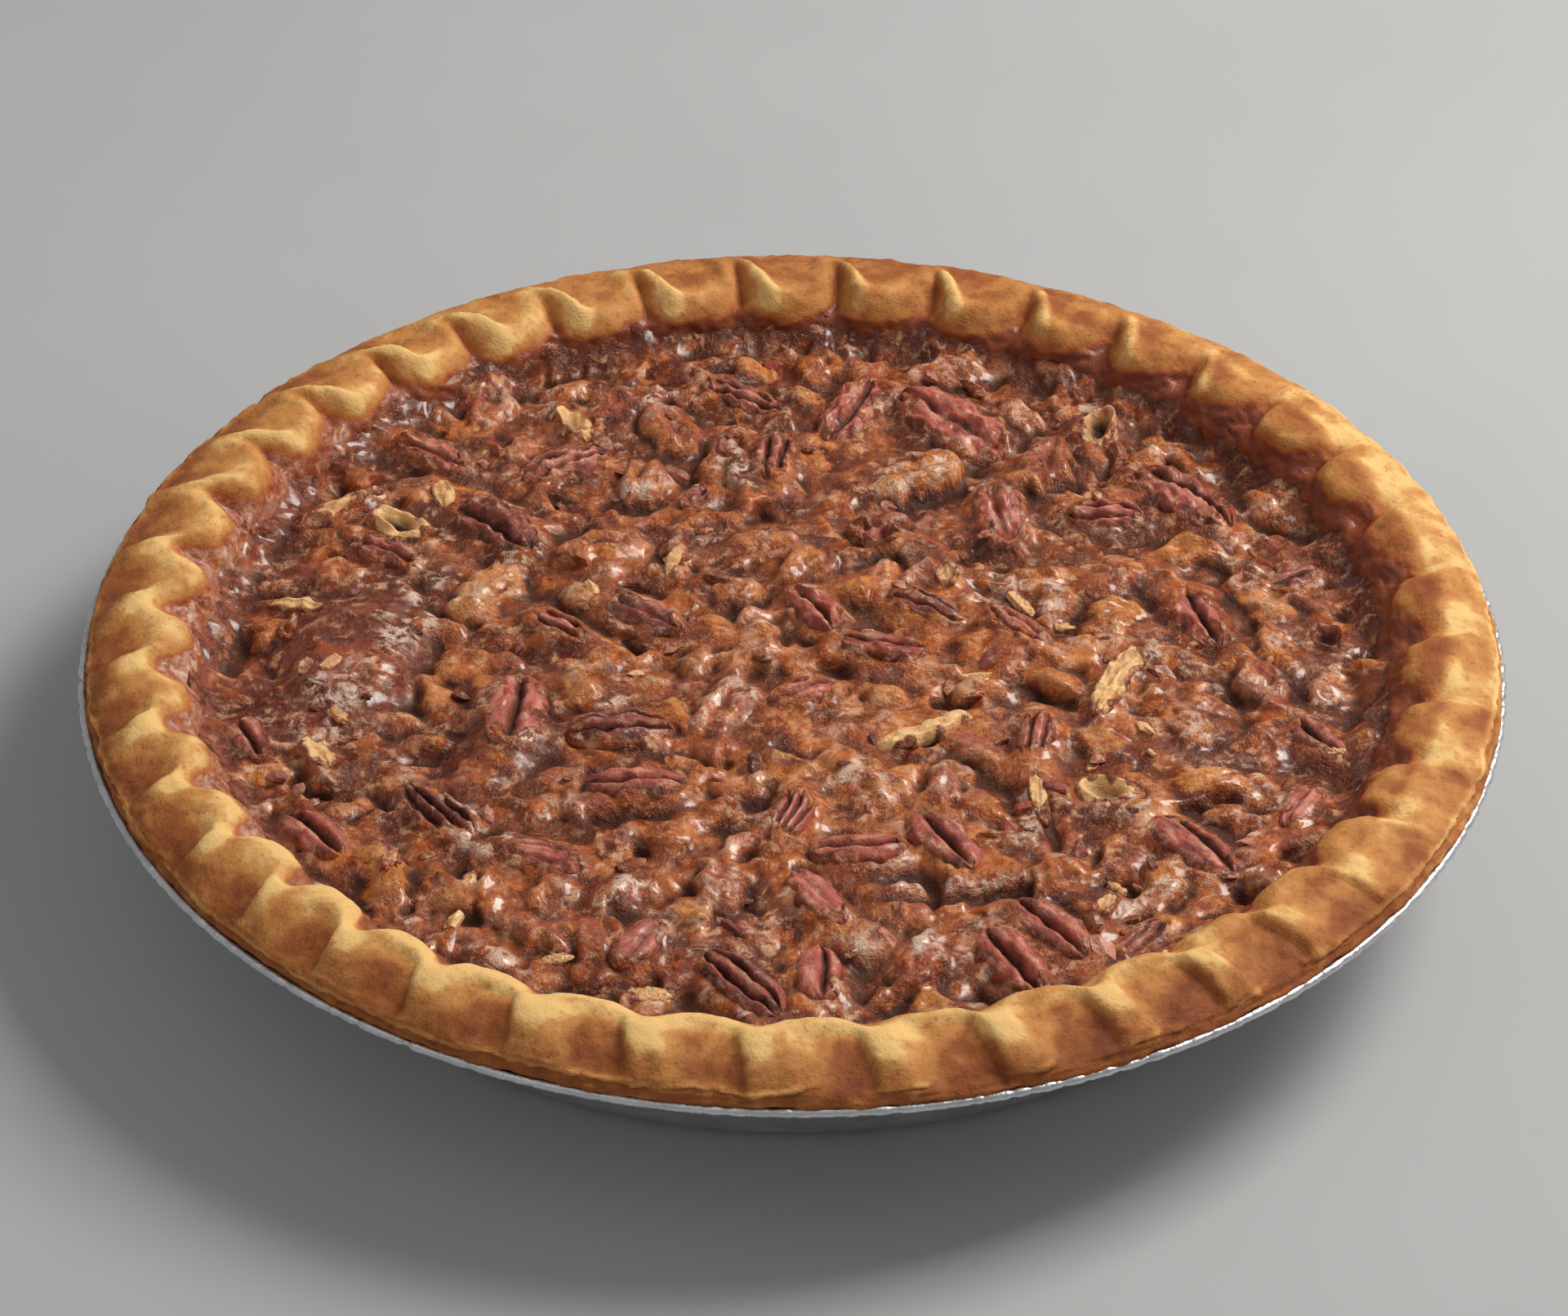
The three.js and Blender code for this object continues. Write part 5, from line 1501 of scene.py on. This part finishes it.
class PIE_OT_kernels(bpy.types.Operator):
    """Build every nut that shows"""
    bl_idname = "pie.kernels"
    bl_label = "Nuts"

    def execute(self, context):
        settings = context.scene.pie_kernels
        filling = context.scene.pie_filling
        skin = kernel_material("Nut skin", settings, filling, 0.0)
        flesh = kernel_material("Nut flesh", settings, filling, 0.25)
        for k in KERNELS:
            whole = k.kind == "half"
            look = skin if whole else flesh
            kernel = make_piece(f"kernel_{k.kind}_{k.number:02d}", look, *k.surface(settings.rows))
            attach(kernel, "root")
            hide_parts(f"pecan_{k.kind}_{k.number:02d}")
        return {"FINISHED"}


class PIE_OT_stage(bpy.types.Operator):
    """Set up the floor, the lights and the camera"""
    bl_idname = "pie.stage"
    bl_label = "Stage"

    def execute(self, context):
        settings = context.scene.pie_stage
        scene = context.scene
        mesh = bpy.data.meshes.new("floor")
        ways = ((-1, -1), (1, -1), (1, 1), (-1, 1))
        mesh.from_pydata([(FLOOR_REACH * a, FLOOR_REACH * b, 0) for a, b in ways], [], [(0, 1, 2, 3)])
        floor = bpy.data.objects.new("floor", mesh)
        scene.collection.objects.link(floor)
        mesh.materials.append(floor_material(settings))
        floor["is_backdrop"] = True
        self.light("key", settings.key_power, *KEY_LIGHT)
        self.light("fill", settings.fill_power, *WEAK_LIGHT)
        room = bpy.data.worlds.new("room")
        room.use_nodes = True
        back = room.node_tree.nodes["Background"]
        back.inputs["Color"].default_value = ROOM_COLOUR
        back.inputs["Strength"].default_value = settings.room
        scene.world = room
        scene.view_settings.view_transform = "Standard"
        lens = bpy.data.cameras.new("view")
        lens.sensor_fit = "HORIZONTAL"
        lens.sensor_width = 36.0
        lens.lens = settings.lens
        lens.shift_x, lens.shift_y = CAMERA_SHIFT
        camera = bpy.data.objects.new("view", lens)
        middle, rise = Vector(CAMERA_TARGET), radians(CAMERA_RISE)
        place = middle + CAMERA_DISTANCE * Vector((0, -cos(rise), sin(rise)))
        turn = (middle - place).to_track_quat("-Z", "Y").to_matrix()
        turn = turn @ Matrix.Rotation(radians(CAMERA_ROLL), 3, "Z")
        camera.matrix_world = Matrix.Translation(place) @ turn.to_4x4()
        scene.collection.objects.link(camera)
        scene.camera = camera
        return {"FINISHED"}

    @staticmethod
    def light(name, power, place, size, colour):
        """A square light that faces the pie."""
        data = bpy.data.lights.new(name, "AREA")
        data.size = size
        data.energy = power
        data.color = colour
        lamp = bpy.data.objects.new(name, data)
        lamp.location = place
        way = Vector(LIGHT_TARGET) - Vector(place)
        lamp.rotation_euler = way.to_track_quat("-Z", "Y").to_euler()
        bpy.context.scene.collection.objects.link(lamp)


class PIE_PT_panel(bpy.types.Panel):
    """Lists the pie's pieces and their settings"""
    bl_label = "Pecan Pie"
    bl_idname = "PIE_PT_panel"
    bl_space_type = "VIEW_3D"
    bl_region_type = "UI"
    bl_category = "Pecan Pie"

    def draw(self, context):
        for operator, key in PIECES:
            box = self.layout.box()
            box.operator(operator.bl_idname)
            settings = getattr(context.scene, key)
            for name in settings.__annotations__:
                box.prop(settings, name)


PIECES = (
    (PIE_OT_stage, "pie_stage"),
    (PIE_OT_tin, "pie_tin"),
    (PIE_OT_crust, "pie_crust"),
    (PIE_OT_filling, "pie_filling"),
    (PIE_OT_kernels, "pie_kernels"),
)


CLASSES = (*SETTINGS.values(), *(operator for operator, _ in PIECES), PIE_PT_panel)


def register():
    """Registers the classes and gives the scene its settings."""
    for cls in CLASSES:
        bpy.utils.register_class(cls)
    for name, cls in SETTINGS.items():
        setattr(bpy.types.Scene, name, PointerProperty(type=cls))


def unregister():
    """Takes the settings and the classes away again."""
    for name in SETTINGS:
        delattr(bpy.types.Scene, name)
    for cls in reversed(CLASSES):
        bpy.utils.unregister_class(cls)


def main():
    """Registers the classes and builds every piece."""
    register()
    bpy.ops.pie.stage()
    bpy.ops.pie.tin()
    bpy.ops.pie.crust()
    bpy.ops.pie.filling()
    bpy.ops.pie.kernels()
    boxes = {"cad": CAD_BOX, "visual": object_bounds()}
    boxes = {key: [[float(v) for v in corner] for corner in box] for key, box in boxes.items()}


if __name__ == "__main__":
    main()
